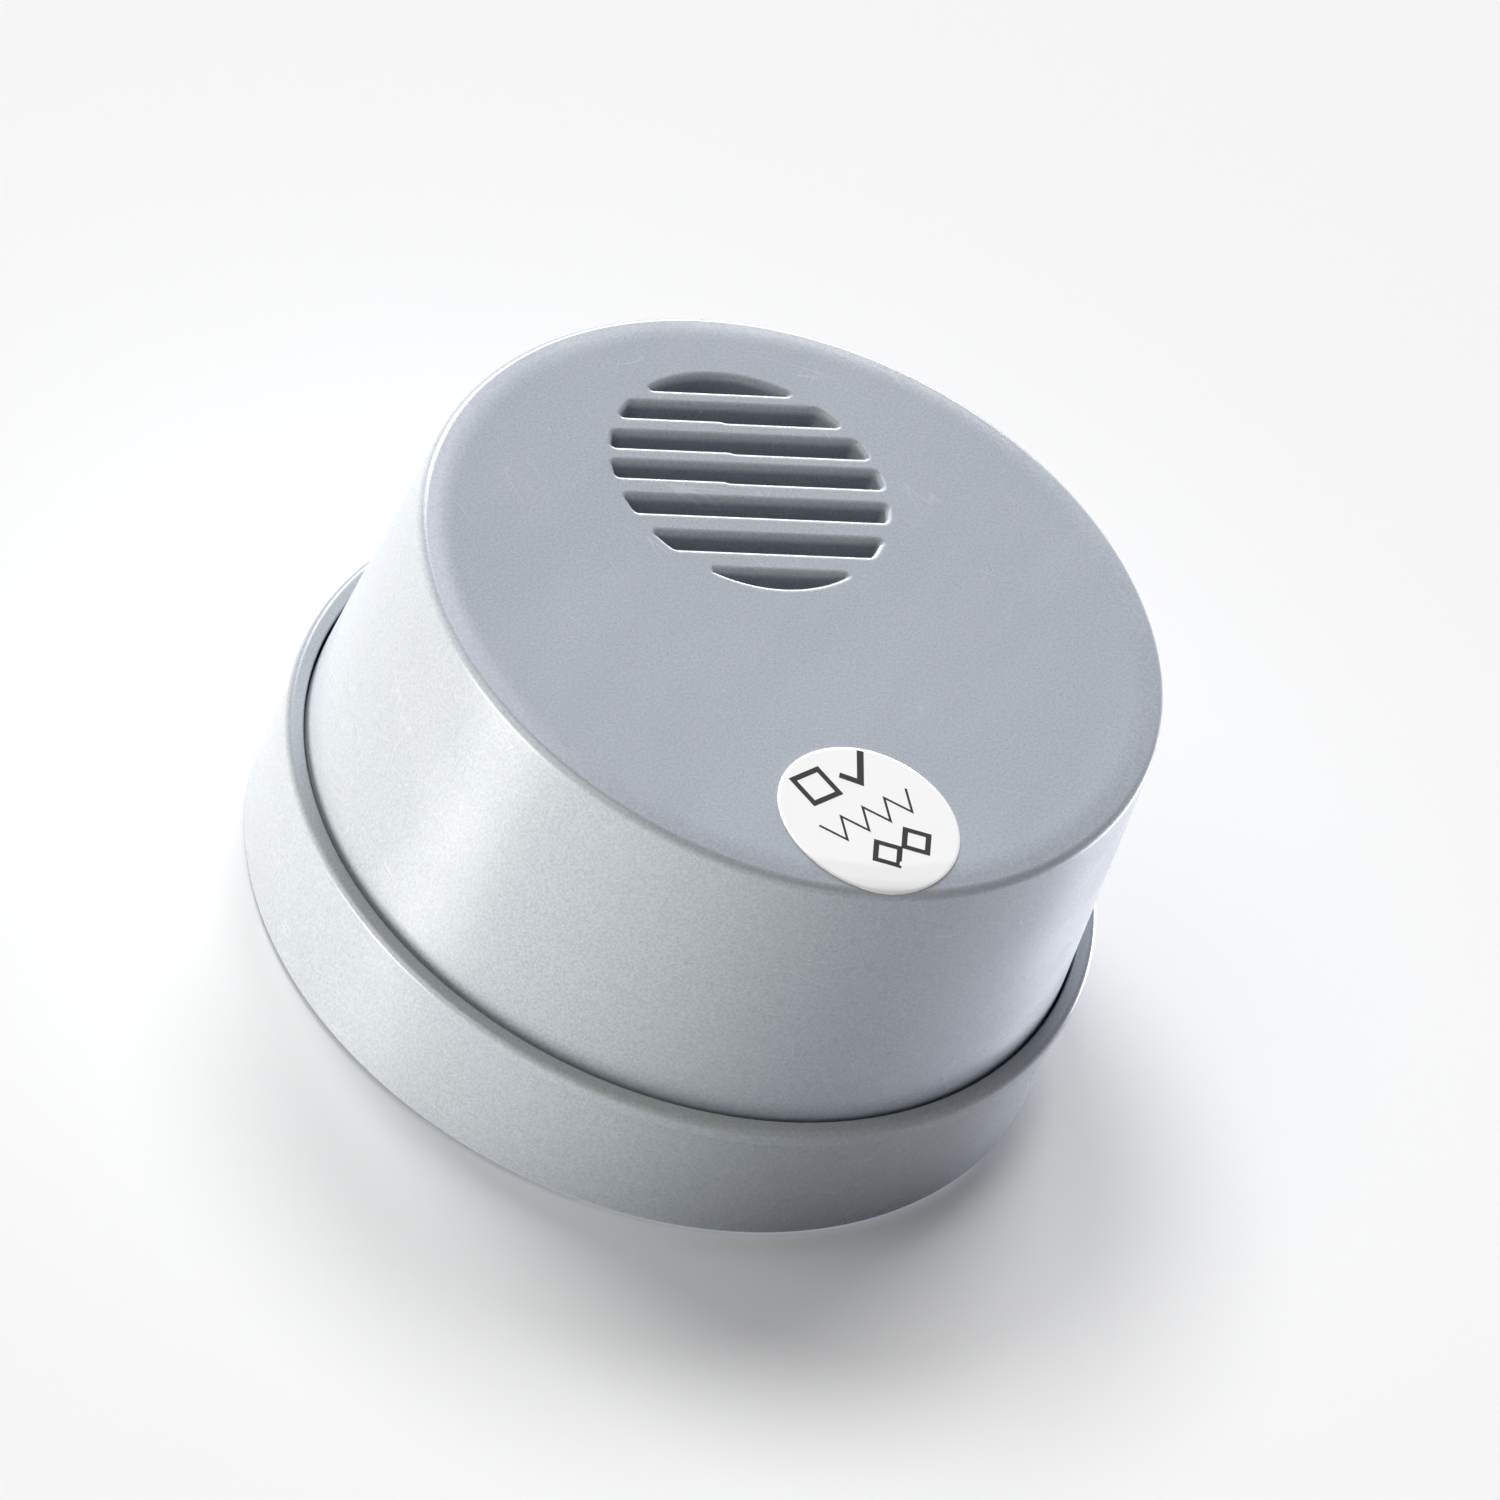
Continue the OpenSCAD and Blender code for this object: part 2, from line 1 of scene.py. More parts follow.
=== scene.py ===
"""Looks of a small round carbon monoxide detector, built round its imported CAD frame.

Lengths are in millimetres until mm() turns them into metres. The row frame has its origin
at the centre of the mounting face, +Z out of the grille and +Y from the label to the grille.
"""

import json
import math

import bpy
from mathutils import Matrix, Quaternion, Vector
from mathutils.geometry import delaunay_2d_cdt


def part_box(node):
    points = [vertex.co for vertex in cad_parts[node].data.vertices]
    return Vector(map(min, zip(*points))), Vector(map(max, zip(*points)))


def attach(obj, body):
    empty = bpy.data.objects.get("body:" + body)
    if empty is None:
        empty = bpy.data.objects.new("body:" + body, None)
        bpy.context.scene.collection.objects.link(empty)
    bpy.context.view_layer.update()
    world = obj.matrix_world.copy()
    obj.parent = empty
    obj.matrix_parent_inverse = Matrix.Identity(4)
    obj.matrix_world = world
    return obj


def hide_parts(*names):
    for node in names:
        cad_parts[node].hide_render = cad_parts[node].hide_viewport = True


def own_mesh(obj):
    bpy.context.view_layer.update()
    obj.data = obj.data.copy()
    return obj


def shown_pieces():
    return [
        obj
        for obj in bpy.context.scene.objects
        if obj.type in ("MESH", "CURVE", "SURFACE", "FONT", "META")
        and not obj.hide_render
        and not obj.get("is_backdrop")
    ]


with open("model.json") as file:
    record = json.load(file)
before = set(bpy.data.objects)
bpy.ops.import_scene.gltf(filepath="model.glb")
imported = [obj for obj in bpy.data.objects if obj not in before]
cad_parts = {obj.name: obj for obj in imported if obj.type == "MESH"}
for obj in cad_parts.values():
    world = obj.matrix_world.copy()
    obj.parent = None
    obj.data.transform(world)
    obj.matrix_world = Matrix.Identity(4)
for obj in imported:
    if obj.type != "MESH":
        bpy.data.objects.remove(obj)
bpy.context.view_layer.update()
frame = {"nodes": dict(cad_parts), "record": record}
NODES = frame["nodes"]

# ---- sizes, in millimetres ----

MM = 0.001
FACE_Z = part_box("front_cap")[1].z / MM
SKIRT_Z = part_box("front_cap")[0].z / MM
LIP_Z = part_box("collar")[1].z / MM
CAP_BASE_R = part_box("front_cap")[1].x / MM
CAP_FACE_R = 27.3
CAP_EDGE_R = 0.7
CAP_WALL = 1.6
FACE_WALL = 1.8
UNDER_Z = FACE_Z - FACE_WALL
DRAFT = math.atan((CAP_BASE_R - CAP_FACE_R) / (FACE_Z - LIP_Z))

GRILLE_R = 10.05
GRILLE_X = -0.4
GRILLE_Y = 11.2
SEAT_R = 11.75
SLOT_W = 1.45
SLOT_EDGES = (8.55, 5.7, 2.75, -0.1, -3.3, -6.7)
SLOT_PITCH = 3.4
SLOT_STEP = 0.14
# Slots whose lower edge has a step, and where along them it is
STEP_X = {1: -0.55, 2: -0.65, 3: -1.8}

LABEL_R = 6.65
LABEL_Y = -20.5
LABEL_T = 0.1
LABEL_TURN = math.radians(26.4)

ROUND_STEPS = 240


def mm(*values):
    """A point or a size in metres."""
    return Vector([v * MM for v in values]) if len(values) > 1 else values[0] * MM


# ---- camera ----

CAMERA_AZIMUTH = math.radians(-32.67)
CAMERA_ELEVATION = math.radians(42.135)
CAMERA_ROLL = math.radians(25.377)
CAMERA_DISTANCE = 1.42657
CAMERA_AIM = Vector((0.012545, 0.016528, 0))


def make_camera():
    """A long lens that looks down on the detector and is rolled, so the cap leans to the right."""
    back = Vector((
        math.sin(CAMERA_AZIMUTH) * math.cos(CAMERA_ELEVATION),
        -math.cos(CAMERA_AZIMUTH) * math.cos(CAMERA_ELEVATION),
        math.sin(CAMERA_ELEVATION),
    ))
    data = bpy.data.cameras.new("camera")
    data.lens = 480
    data.sensor_width = 36
    data.clip_start = 0.1
    data.clip_end = 50
    camera = bpy.data.objects.new("camera", data)
    camera.rotation_mode = "QUATERNION"
    camera.location = CAMERA_AIM + back * CAMERA_DISTANCE
    roll = Quaternion((0, 0, 1), CAMERA_ROLL)
    camera.rotation_quaternion = (-back).to_track_quat("-Z", "Y") @ roll
    bpy.context.scene.collection.objects.link(camera)
    bpy.context.scene.camera = camera


# ---- materials ----


class Paint:
    """A node-built material round one Principled shader."""

    def __init__(self, name, colour, roughness, **sockets):
        self.name = name
        self.material = bpy.data.materials.new(name)
        self.material.use_nodes = True
        self.nodes = self.material.node_tree.nodes
        self.links = self.material.node_tree.links
        self.shader = self.nodes["Principled BSDF"]
        self.set("Base Color", (*colour, 1))
        self.set("Roughness", roughness)
        for socket, value in sockets.items():
            self.set(socket.replace("_", " "), value)
        self.normal = None

    def set(self, socket, value):
        self.shader.inputs[socket].default_value = value

    def node(self, kind, settings=None, **inputs):
        """A node whose inputs are linked, where they are sockets, or set; i0 is the first input."""
        made = self.nodes.new("ShaderNode" + kind)
        for key, value in (settings or {}).items():
            setattr(made, key, value)
        for key, value in inputs.items():
            socket = made.inputs[int(key[1:]) if key[1:].isdigit() else key.replace("_", " ")]
            if isinstance(value, bpy.types.NodeSocket):
                self.links.new(value, socket)
            else:
                socket.default_value = value
        return made

    def place(self, scale=(1, 1, 1), turn=(0, 0, 0), shift=(0, 0, 0)):
        """The point on the surface in millimetres, turned and then scaled."""
        coord = self.node("TexCoord").outputs["Object"]
        size = [s / MM for s in scale]
        way = self.node("Mapping", {"vector_type": "POINT"}, Vector=coord, Rotation=turn)
        return self.node("Mapping", {"vector_type": "POINT"}, Vector=way.outputs[0],
                         Scale=size, Location=shift).outputs[0]

    def noise(self, size, detail=2.0, rough=0.5, **place):
        """Noise from 0 to 1 with blotches of that size in millimetres."""
        vector = self.place(**place)
        return self.node("TexNoise", Vector=vector, Scale=1 / size, Detail=detail,
                         Roughness=rough).outputs["Fac"]

    def band(self, value, low, high, out_low=0.0, out_high=1.0):
        """Maps low..high to out_low..out_high, clamped and smooth."""
        return self.node("MapRange", {"interpolation_type": "SMOOTHSTEP"}, Value=value,
                         From_Min=low, From_Max=high, To_Min=out_low, To_Max=out_high).outputs[0]

    def math(self, operation, a, b=0.0):
        return self.node("Math", {"operation": operation}, i0=a, i1=b).outputs[0]

    def times(self, a, b):
        return self.math("MULTIPLY", a, b)

    def flip(self, value):
        """1 where the value is 0, and 0 where it is 1."""
        return self.math("SUBTRACT", 1, value)

    def off_half(self, value):
        """How far a value is from 0.5."""
        return self.math("ABSOLUTE", self.math("SUBTRACT", value, 0.5))

    def mix(self, factor, a, b):
        """The colour a where factor is 0 and b where it is 1."""
        a, b = [c if isinstance(c, bpy.types.NodeSocket) else (*c, 1) for c in (a, b)]
        return self.node("Mix", {"data_type": "RGBA"}, i0=factor, i6=a, i7=b).outputs[2]

    def link(self, name, socket):
        self.links.new(socket, self.shader.inputs[name])

    def colour(self, socket):
        self.link("Base Color", socket)

    def rough(self, socket):
        self.link("Roughness", socket)

    def bump(self, height, depth):
        """Adds a relief of that depth in millimetres."""
        made = self.node("Bump", Height=height, Distance=mm(depth), Strength=1.0)
        if self.normal is not None:
            self.links.new(self.normal, made.inputs["Normal"])
        self.normal = made.outputs[0]
        self.links.new(self.normal, self.shader.inputs["Normal"])


def shade(colour, factor):
    """The colour made darker or lighter."""
    return tuple(c * factor for c in colour)


def coordinate(paint, axis):
    """X, Y or Z of the surface in millimetres."""
    return paint.node("SeparateXYZ", Vector=paint.place()).outputs["XYZ".index(axis)]


def near(paint, value, middle, reach):
    """1 where a value is within reach of its middle, else 0."""
    return paint.node("Math", {"operation": "COMPARE"}, i0=value, i1=middle, i2=reach).outputs[0]


def above(paint, value, limit):
    """1 where a value is over a limit, else 0."""
    return paint.math("GREATER_THAN", value, limit)


def radius(paint, centre, axis="Z"):
    """Distance in millimetres from a line through centre along an axis."""
    keep = [0 if name == axis else 1 for name in "XYZ"]
    shift = [-c * k for c, k in zip(centre, keep)]
    across = paint.place(scale=keep, shift=shift)
    return paint.node("VectorMath", {"operation": "LENGTH"}, i0=across).outputs[1]


def rings_noise(paint, centre, scale):
    """Noise that depends only on the distance from a centre: turned or flow lines."""
    out = radius(paint, centre)
    settings = {"noise_dimensions": "1D"}
    return paint.node("TexNoise", settings, W=out, Scale=scale, Detail=3.0).outputs["Fac"]


def cell_tone(paint, cells):
    """A value from 0 to 1 that differs from cell to cell."""
    return paint.node("SeparateColor", i0=cells.outputs["Color"]).outputs[0]


def hairs(paint, turn, gap=3.2, length=26.0, width=0.008):
    """Fine scratches along one direction: where stretched noise crosses its middle."""
    stretch = (1 / length, 1 / gap, 1 / gap)
    place = paint.place(scale=stretch, turn=(0, 0, turn), shift=(7 * turn, 0, 0))
    field = paint.node("TexNoise", Vector=place, Scale=1.0, Detail=1.0).outputs["Fac"]
    return paint.band(paint.off_half(field), 0, width, 1, 0)


def specks(paint, spacing, size, share, shift=(0, 0, 0)):
    """Round specks of about that radius in a share of the cells of a scattered grid."""
    cells = paint.node("TexVoronoi", Vector=paint.place(shift=shift), Scale=1 / spacing)
    spot = paint.band(cells.outputs["Distance"], 0.5 * size / spacing, size / spacing, 1, 0)
    chosen = above(paint, cell_tone(paint, cells), 1 - share)
    return paint.times(spot, chosen)


# Moulded plastics


def moulded(name, colour, roughness, grain=0.14, depth=0.002, tint=0.02):
    """Moulded plastic: fine spark-eroded grain, slow colour drift and uneven gloss."""
    paint = Paint(name, colour, roughness)
    drift = paint.noise(9.0, detail=3.0)
    paint.colour(paint.mix(drift, shade(colour, 1 - tint), shade(colour, 1 + tint)))
    gloss = paint.noise(1.6, detail=4.0)
    paint.rough(paint.band(gloss, 0.2, 0.8, roughness - 0.04, roughness + 0.04))
    paint.bump(paint.noise(grain, detail=3.0, rough=0.6), depth)
    return paint


SHELL_COLOUR = (0.375, 0.405, 0.450)
SHELL_ROUGHNESS = 0.26
HAIR_COLOUR = (0.62, 0.65, 0.68)
# Direction of each set of scratches, and the range of the patchy noise where they show
HAIR_SETS = ((0.3, 0.58, 0.74), (1.2, 0.42, 0.26), (2.2, 0.60, 0.76))
DUST_COLOUR = (0.75, 0.76, 0.76)
DIRT_COLOUR = (0.10, 0.10, 0.11)


def shell_plastic():
    """The shells' satin grey plastic: fine grain, hair scratches, pale dust and dark specks."""
    paint = Paint("shell_plastic", SHELL_COLOUR, SHELL_ROUGHNESS)
    grain = paint.noise(0.2, detail=2.0, rough=0.7)
    tone = paint.band(grain, 0.3, 0.7)
    base = paint.mix(tone, shade(SHELL_COLOUR, 0.88), shade(SHELL_COLOUR, 1.12))
    patches = paint.noise(6.5, detail=1.0)
    scratched = 0.0
    for turn, low, high in HAIR_SETS:
        lines = paint.times(hairs(paint, turn), paint.band(patches, low, high))
        scratched = paint.math("MAXIMUM", scratched, lines)
    base = paint.mix(paint.times(scratched, 0.16), base, HAIR_COLOUR)
    dust = specks(paint, 3.6, 0.10, 0.16)
    dirt = specks(paint, 6.5, 0.09, 0.12, shift=(3, 1, 2))
    base = paint.mix(paint.times(dust, 0.55), base, DUST_COLOUR)
    paint.colour(paint.mix(paint.times(dirt, 0.7), base, DIRT_COLOUR))
    smear = paint.noise(6.0, detail=4.0, scale=(1, 0.35, 1), turn=(0, 0, 0.7))
    gloss = paint.band(smear, 0.3, 0.7, SHELL_ROUGHNESS - 0.03, SHELL_ROUGHNESS + 0.04)
    paint.rough(paint.math("ADD", gloss, paint.times(scratched, 0.10)))
    paint.bump(grain, 0.0015)
    return paint


def chassis_plastic():
    """Dark moulded plastic with a coarser eroded texture and glossier rub marks."""
    dark = (0.05, 0.055, 0.065)
    paint = moulded("chassis_plastic", dark, 0.5, grain=0.3, depth=0.012, tint=0.08)
    rubbed = hairs(paint, 0.8, gap=1.6, length=8, width=0.02)
    paint.rough(paint.band(rubbed, 0, 1, 0.5, 0.34))
    return paint


def plate_plastic():
    """Cream plastic with flow lines that run from its centre."""
    paint = moulded("plate_plastic", (0.80, 0.79, 0.66), 0.42, grain=0.2, depth=0.004)
    paint.bump(rings_noise(paint, (0, 0, 0), 0.45), 0.01)
    return paint


def pad_foam():
    """Closed-cell foam, with the smooth liner of its adhesive on the wall side."""
    paint = Paint("pad_foam", (0.07, 0.075, 0.08), 0.85)
    cells = paint.node("TexVoronoi", Vector=paint.place(), Scale=1 / 0.28).outputs["Distance"]
    # Painted shade: each cell is lighter at its middle and darker towards its rim, where the bump
    # sinks it into a groove.
    foam = paint.mix(paint.band(cells, 0.1, 0.6), (0.09, 0.095, 0.10), (0.03, 0.032, 0.035))
    liner = above(paint, paint.times(coordinate(paint, "Z"), -1), -0.05)
    paint.colour(paint.mix(liner, foam, (0.62, 0.60, 0.50)))
    paint.rough(paint.band(liner, 0, 1, 0.85, 0.4))
    paint.bump(paint.times(cells, paint.flip(liner)), -0.06)
    return paint


# Metals


def metal(name, colour, roughness, streak=(1, 1, 1), centre=None):
    """Plated metal with cloudy tarnish and fine lines, which run round a centre if one is given."""
    paint = Paint(name, colour, roughness, Metallic=1.0)
    cloud = paint.noise(2.2, detail=4.0)
    paint.colour(paint.mix(cloud, shade(colour, 0.84), shade(colour, 1.08)))
    if centre is None:
        lines = paint.noise(0.3, detail=4.0, scale=streak)
    else:
        lines = rings_noise(paint, centre, 9)
    paint.rough(paint.band(lines, 0.25, 0.75, roughness - 0.07, roughness + 0.10))
    paint.bump(lines, 0.003)
    return paint


def middle(node):
    """Middle of a CAD node in millimetres."""
    low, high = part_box(node)
    return (low + high) / 2 / MM


def capacitor_can():
    """Aluminium can on a black base, with a dark segment printed on its top."""
    centre = middle("storage_capacitor")
    paint = metal("capacitor_can", (0.72, 0.73, 0.74), 0.28, centre=centre)
    low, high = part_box("storage_capacitor")
    on_base = above(paint, low.z / MM + 0.8, coordinate(paint, "Z"))
    on_top = above(paint, coordinate(paint, "Z"), high.z / MM - 0.05)
    side = above(paint, centre.x - 0.7, coordinate(paint, "X"))
    dark = paint.math("MAXIMUM", on_base, paint.times(on_top, side))
    can = paint.mix(paint.noise(1.2, detail=3.0), (0.66, 0.67, 0.68), (0.76, 0.77, 0.78))
    paint.colour(paint.mix(dark, can, (0.02, 0.02, 0.022)))
    paint.link("Metallic", paint.flip(dark))
    return paint


def chip_epoxy(name, node, legs):
    """Moulded black epoxy with a laser-etched first-leg dot, and tinned legs at its two sides."""
    paint = moulded(name, (0.018, 0.018, 0.02), 0.55, grain=0.1, depth=0.006)
    low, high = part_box(node)
    half = (high.x - low.x) / 2 / MM - legs
    body = near(paint, coordinate(paint, "X"), middle(node).x, half)
    corner = (middle(node).x - half + 0.9, high.y / MM - 0.9, 0)
    dot = near(paint, radius(paint, corner), 0, 0.35)
    epoxy = paint.mix(dot, (0.018, 0.018, 0.02), (0.07, 0.07, 0.07))
    paint.colour(paint.mix(body, (0.62, 0.62, 0.6), epoxy))
    paint.link("Metallic", paint.flip(body))
    paint.rough(paint.band(body, 0, 1, 0.3, 0.55))
    return paint


def wound_ferrite():
    """Sintered ferrite drum whose groove is filled by enamelled copper wire."""
    paint = Paint("wound_ferrite", (0.10, 0.10, 0.11), 0.7)
    low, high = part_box("step_up_coil")
    out = radius(paint, middle("step_up_coil"))
    level = near(paint, coordinate(paint, "Z"), low.z / MM + 1.6, 0.98)
    wire = paint.times(level, above(paint, 2.1, out))
    turns = paint.math("FRACT", paint.times(coordinate(paint, "Z"), 4.5))
    grit = paint.noise(0.12, detail=3.0)
    ferrite = paint.mix(grit, (0.07, 0.07, 0.075), (0.13, 0.13, 0.14))
    # Painted shading: each turn of wire is coloured from dark copper at its foot to light copper at
    # its top.
    copper = paint.mix(turns, (0.45, 0.17, 0.06), (0.62, 0.27, 0.10))
    paint.colour(paint.mix(wire, ferrite, copper))
    paint.link("Metallic", wire)
    paint.rough(paint.band(wire, 0, 1, 0.7, 0.3))
    ripple = paint.times(wire, paint.off_half(turns))
    paint.bump(ripple, -0.2)
    paint.bump(grit, 0.01)
    return paint


# Board, battery and small parts


def board_laminate():
    """Green solder mask over copper tracks, with tinned pads and a bare fibreglass edge."""
    green = (0.02, 0.17, 0.08)
    paint = Paint("board_laminate", green, 0.3, Coat_Weight=0.4, Coat_Roughness=0.12)
    square = {"distance": "CHEBYCHEV"}
    areas = paint.node("TexVoronoi", square, Vector=paint.place(), Scale=1 / 5.5)
    across = above(paint, cell_tone(paint, areas), 0.5)
    lanes = [paint.math("PINGPONG", coordinate(paint, axis), 0.45) for axis in "XY"]
    lane = paint.node("Mix", i0=across, i2=lanes[0], i3=lanes[1]).outputs[0]
    track = paint.band(lane, 0.10, 0.15, 1, 0)
    masked = paint.mix(track, green, (0.05, 0.27, 0.12))
    pads = specks(paint, 2.4, 0.3, 0.3, shift=(1, 2, 0))
    normal = paint.node("NewGeometry").outputs["Normal"]
    facing = paint.node("SeparateXYZ", Vector=normal).outputs[2]
    edge = above(paint, 0.5, paint.math("ABSOLUTE", facing))
    weave = paint.noise(0.2, detail=2.0, scale=(1, 1, 4))
    fibre = paint.mix(weave, (0.30, 0.34, 0.17), (0.42, 0.46, 0.26))
    face = paint.mix(pads, masked, (0.68, 0.68, 0.66))
    paint.colour(paint.mix(edge, face, fibre))
    paint.rough(paint.band(edge, 0, 1, 0.3, 0.75))
    paint.bump(paint.math("MAXIMUM", track, pads), 0.03)
    return paint


def cell_sleeve():
    """Heat-shrunk sleeve with a seam and a pale band, folded over a nickel-plated can."""
    blue = (0.03, 0.08, 0.26)
    paint = Paint("cell_sleeve", blue, 0.22, Coat_Weight=0.3)
    low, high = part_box("battery_cell")
    at = middle("battery_cell")
    half = (high.x - low.x) / 2 / MM
    inner = above(paint, 7.3, radius(paint, at, "X"))
    side = near(paint, coordinate(paint, "X"), at.x, half - 0.1)
    bare = paint.times(inner, paint.flip(side))
    band = near(paint, coordinate(paint, "X"), at.x + 10, 2.2)
    seam = near(paint, coordinate(paint, "Y"), at.y + 2, 0.12)
    sleeve = paint.mix(paint.noise(5.0), shade(blue, 0.9), shade(blue, 1.15))
    printed = paint.mix(band, sleeve, (0.55, 0.57, 0.6))
    paint.colour(paint.mix(bare, printed, (0.68, 0.68, 0.66)))
    paint.link("Metallic", bare)
    wrinkle = paint.noise(1.4, detail=3.0, scale=(2.5, 0.6, 0.6))
    paint.bump(wrinkle, 0.03)
    paint.bump(seam, 0.05)
    return paint


def lamp_lens(name, colour, node):
    """Tinted diffusing lens on a small white body."""
    paint = Paint(name, colour, 0.12, Coat_Weight=0.8, Coat_Roughness=0.05)
    lens = above(paint, coordinate(paint, "Z"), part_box(node)[0].z / MM + 0.69)
    cloud = paint.noise(0.4, detail=2.0)
    paint.colour(paint.mix(lens, (0.78, 0.78, 0.75), colour))
    paint.rough(paint.band(lens, 0, 1, 0.5, 0.12))
    paint.bump(cloud, 0.004)
    return paint


def grainy(name, dark, light, size, roughness, depth):
    """A fired, felted or porous material whose grains differ in colour and stand proud."""
    paint = Paint(name, light, roughness)
    grains = paint.node("TexVoronoi", Vector=paint.place(), Scale=1 / size)
    paint.colour(paint.mix(cell_tone(paint, grains), dark, light))
    paint.bump(grains.outputs["Distance"], -depth)
    return paint


WEAVE_PITCH = 0.34


def mesh_fabric():
    """Plain-woven dust screen: round threads over and under each other, with painted shade where a
    thread passes under another and near black painted in the gaps between them.
    """
    paint = Paint("mesh_fabric", (0.03, 0.03, 0.035), 0.6)
    cell = paint.place(scale=(1 / WEAVE_PITCH,) * 3)
    axes = paint.node("SeparateXYZ", Vector=cell)
    folded = [paint.off_half(paint.math("FRACT", axes.outputs[i])) for i in (0, 1)]
    warp, weft = [paint.band(f, 0.12, 0.34, 1, 0) for f in folded]
    over = paint.node("TexChecker", Vector=cell, Scale=1.0).outputs["Fac"]
    lifted = [paint.times(warp, paint.band(over, 0, 1, 0.6, 1)),
              paint.times(weft, paint.band(over, 0, 1, 1, 0.6))]
    height = paint.math("MAXIMUM", *lifted)
    # Painted shade: the colour darkens with the weave's height, from the threads on top down to
    # near black in the gaps.
    paint.colour(paint.mix(height, (0.004, 0.004, 0.005), (0.06, 0.062, 0.068)))
    paint.bump(height, 0.08)
    return paint


# Label


def label_paper():
    """Gloss-coated label paper with faint waves where it was pressed down."""
    paint = Paint("label_paper", (0.94, 0.94, 0.93), 0.2, Coat_Weight=0.4, Coat_Roughness=0.08)
    tone = paint.noise(2.0, detail=3.0)
    paint.colour(paint.mix(tone, (0.925, 0.925, 0.92), (0.955, 0.955, 0.945)))
    paint.bump(paint.noise(2.6, detail=2.0), 0.012)
    paint.bump(paint.noise(0.12, detail=2.0), 0.001)
    return paint


def label_ink():
    """Black print, a little thin in places."""
    paint = Paint("label_ink", (0.012, 0.011, 0.012), 0.6)
    paint.set("Specular IOR Level", 0.15)
    cover = paint.noise(0.3, detail=3.0)
    paint.colour(paint.mix(cover, (0.008, 0.007, 0.008), (0.022, 0.020, 0.021)))
    return paint


MATERIALS = {paint.name: paint.material for paint in (
    shell_plastic(),
    chassis_plastic(),
    plate_plastic(),
    pad_foam(),
    moulded("ring_plastic", (0.30, 0.32, 0.34), 0.45, depth=0.004),
    moulded("black_plastic", (0.02, 0.02, 0.022), 0.42, grain=0.2, depth=0.006, tint=0.1),
    moulded("lead_red", (0.50, 0.03, 0.03), 0.35, tint=0.06),
    metal("steel_screw", (0.62, 0.62, 0.63), 0.3, streak=(1, 1, 4)),
    metal("spring_steel", (0.55, 0.55, 0.56), 0.28, streak=(1, 1, 5)),
    metal("contact_metal", (0.70, 0.70, 0.68), 0.26, streak=(4, 1, 0.3)),
    metal("can_metal", (0.72, 0.73, 0.74), 0.3, centre=middle("sensor_can")),
    metal("brass_plate", (0.72, 0.53, 0.22), 0.28, centre=middle("piezo_plate")),
    capacitor_can(),
    chip_epoxy("controller_epoxy", "controller_chip", 0.75),
    chip_epoxy("driver_epoxy", "driver_chip", 0.75),
    wound_ferrite(),
    board_laminate(),
    cell_sleeve(),
    lamp_lens("led_red", (0.75, 0.04, 0.03), "alarm_led"),
    lamp_lens("led_green", (0.05, 0.60, 0.15), "power_led"),
    lamp_lens("led_amber", (0.80, 0.48, 0.04), "fault_led"),
    grainy("ceramic_white", (0.66, 0.66, 0.64), (0.76, 0.76, 0.74), 0.2, 0.35, 0.01),
    grainy("chip_body", (0.40, 0.33, 0.24), (0.52, 0.43, 0.31), 0.12, 0.5, 0.01),
    grainy("cell_white", (0.80, 0.80, 0.79), (0.88, 0.88, 0.87), 0.15, 0.8, 0.02),
    grainy("charcoal", (0.012, 0.013, 0.014), (0.045, 0.047, 0.05), 0.25, 0.9, 0.08),
    mesh_fabric(),
    label_paper(),
    label_ink(),
)}

# CAD nodes whose material differs from the one named after their slot
OWN_MATERIAL = {
    "storage_capacitor": "capacitor_can",
    "controller_chip": "controller_epoxy",
    "driver_chip": "driver_epoxy",
    "step_up_coil": "wound_ferrite",
}

# ---- meshes ----


def make_object(name, points, faces, normals, material):
    """A mesh object from points in millimetres; normals may be None."""
    mesh = bpy.data.meshes.new(name)
    mesh.from_pydata([mm(*p) for p in points], [], faces)
    mesh.validate()
    mesh.shade_smooth()
    if normals is not None:
        mesh.normals_split_custom_set_from_vertices([Vector(n).normalized() for n in normals])
    mesh.materials.append(material)
    made = bpy.data.objects.new(name, mesh)
    bpy.context.scene.collection.objects.link(made)
    return made


ARC_STEP = math.radians(9)
TINY = 1e-6


def rounded(corners, radii, closed=False):
    """Profile points (r, z, normal r, normal z) along straight runs with an arc at each corner.

    The surface faces the left of the way that the corners are walked. radii has one radius
    for each corner; an open profile's two ends have none.
    """
    places = [Vector(c) for c in corners]
    size = len(places)
    made = []
    for i, here in enumerate(places):
        before = (here - places[i - 1]).normalized()
        after = (places[(i + 1) % size] - here).normalized()
        if not closed and i in (0, size - 1):
            way = after if i == 0 else before
            made.append((*here, -way.y, way.x))
            continue
        turn = math.atan2(before.cross(after), before.dot(after))
        steps = max(1, math.ceil(abs(turn) / ARC_STEP))
        side = 1 if turn > 0 else -1
        start = here - before * radii[i] * math.tan(abs(turn) / 2)
        hub = start + Vector((-before.y, before.x)) * side * radii[i]
        for k in range(steps + 1):
            angle = math.atan2(before.x, -before.y) + turn * k / steps
            normal = Vector((math.cos(angle), math.sin(angle)))
            made.append((*(hub - normal * side * radii[i]), *normal))
    return made


def loop_faces(first, second, count):
    """Quads between two closed rings, given the index of each ring's first point."""
    return [(first + i, first + (i + 1) % count, second + (i + 1) % count, second + i)
            for i in range(count)]


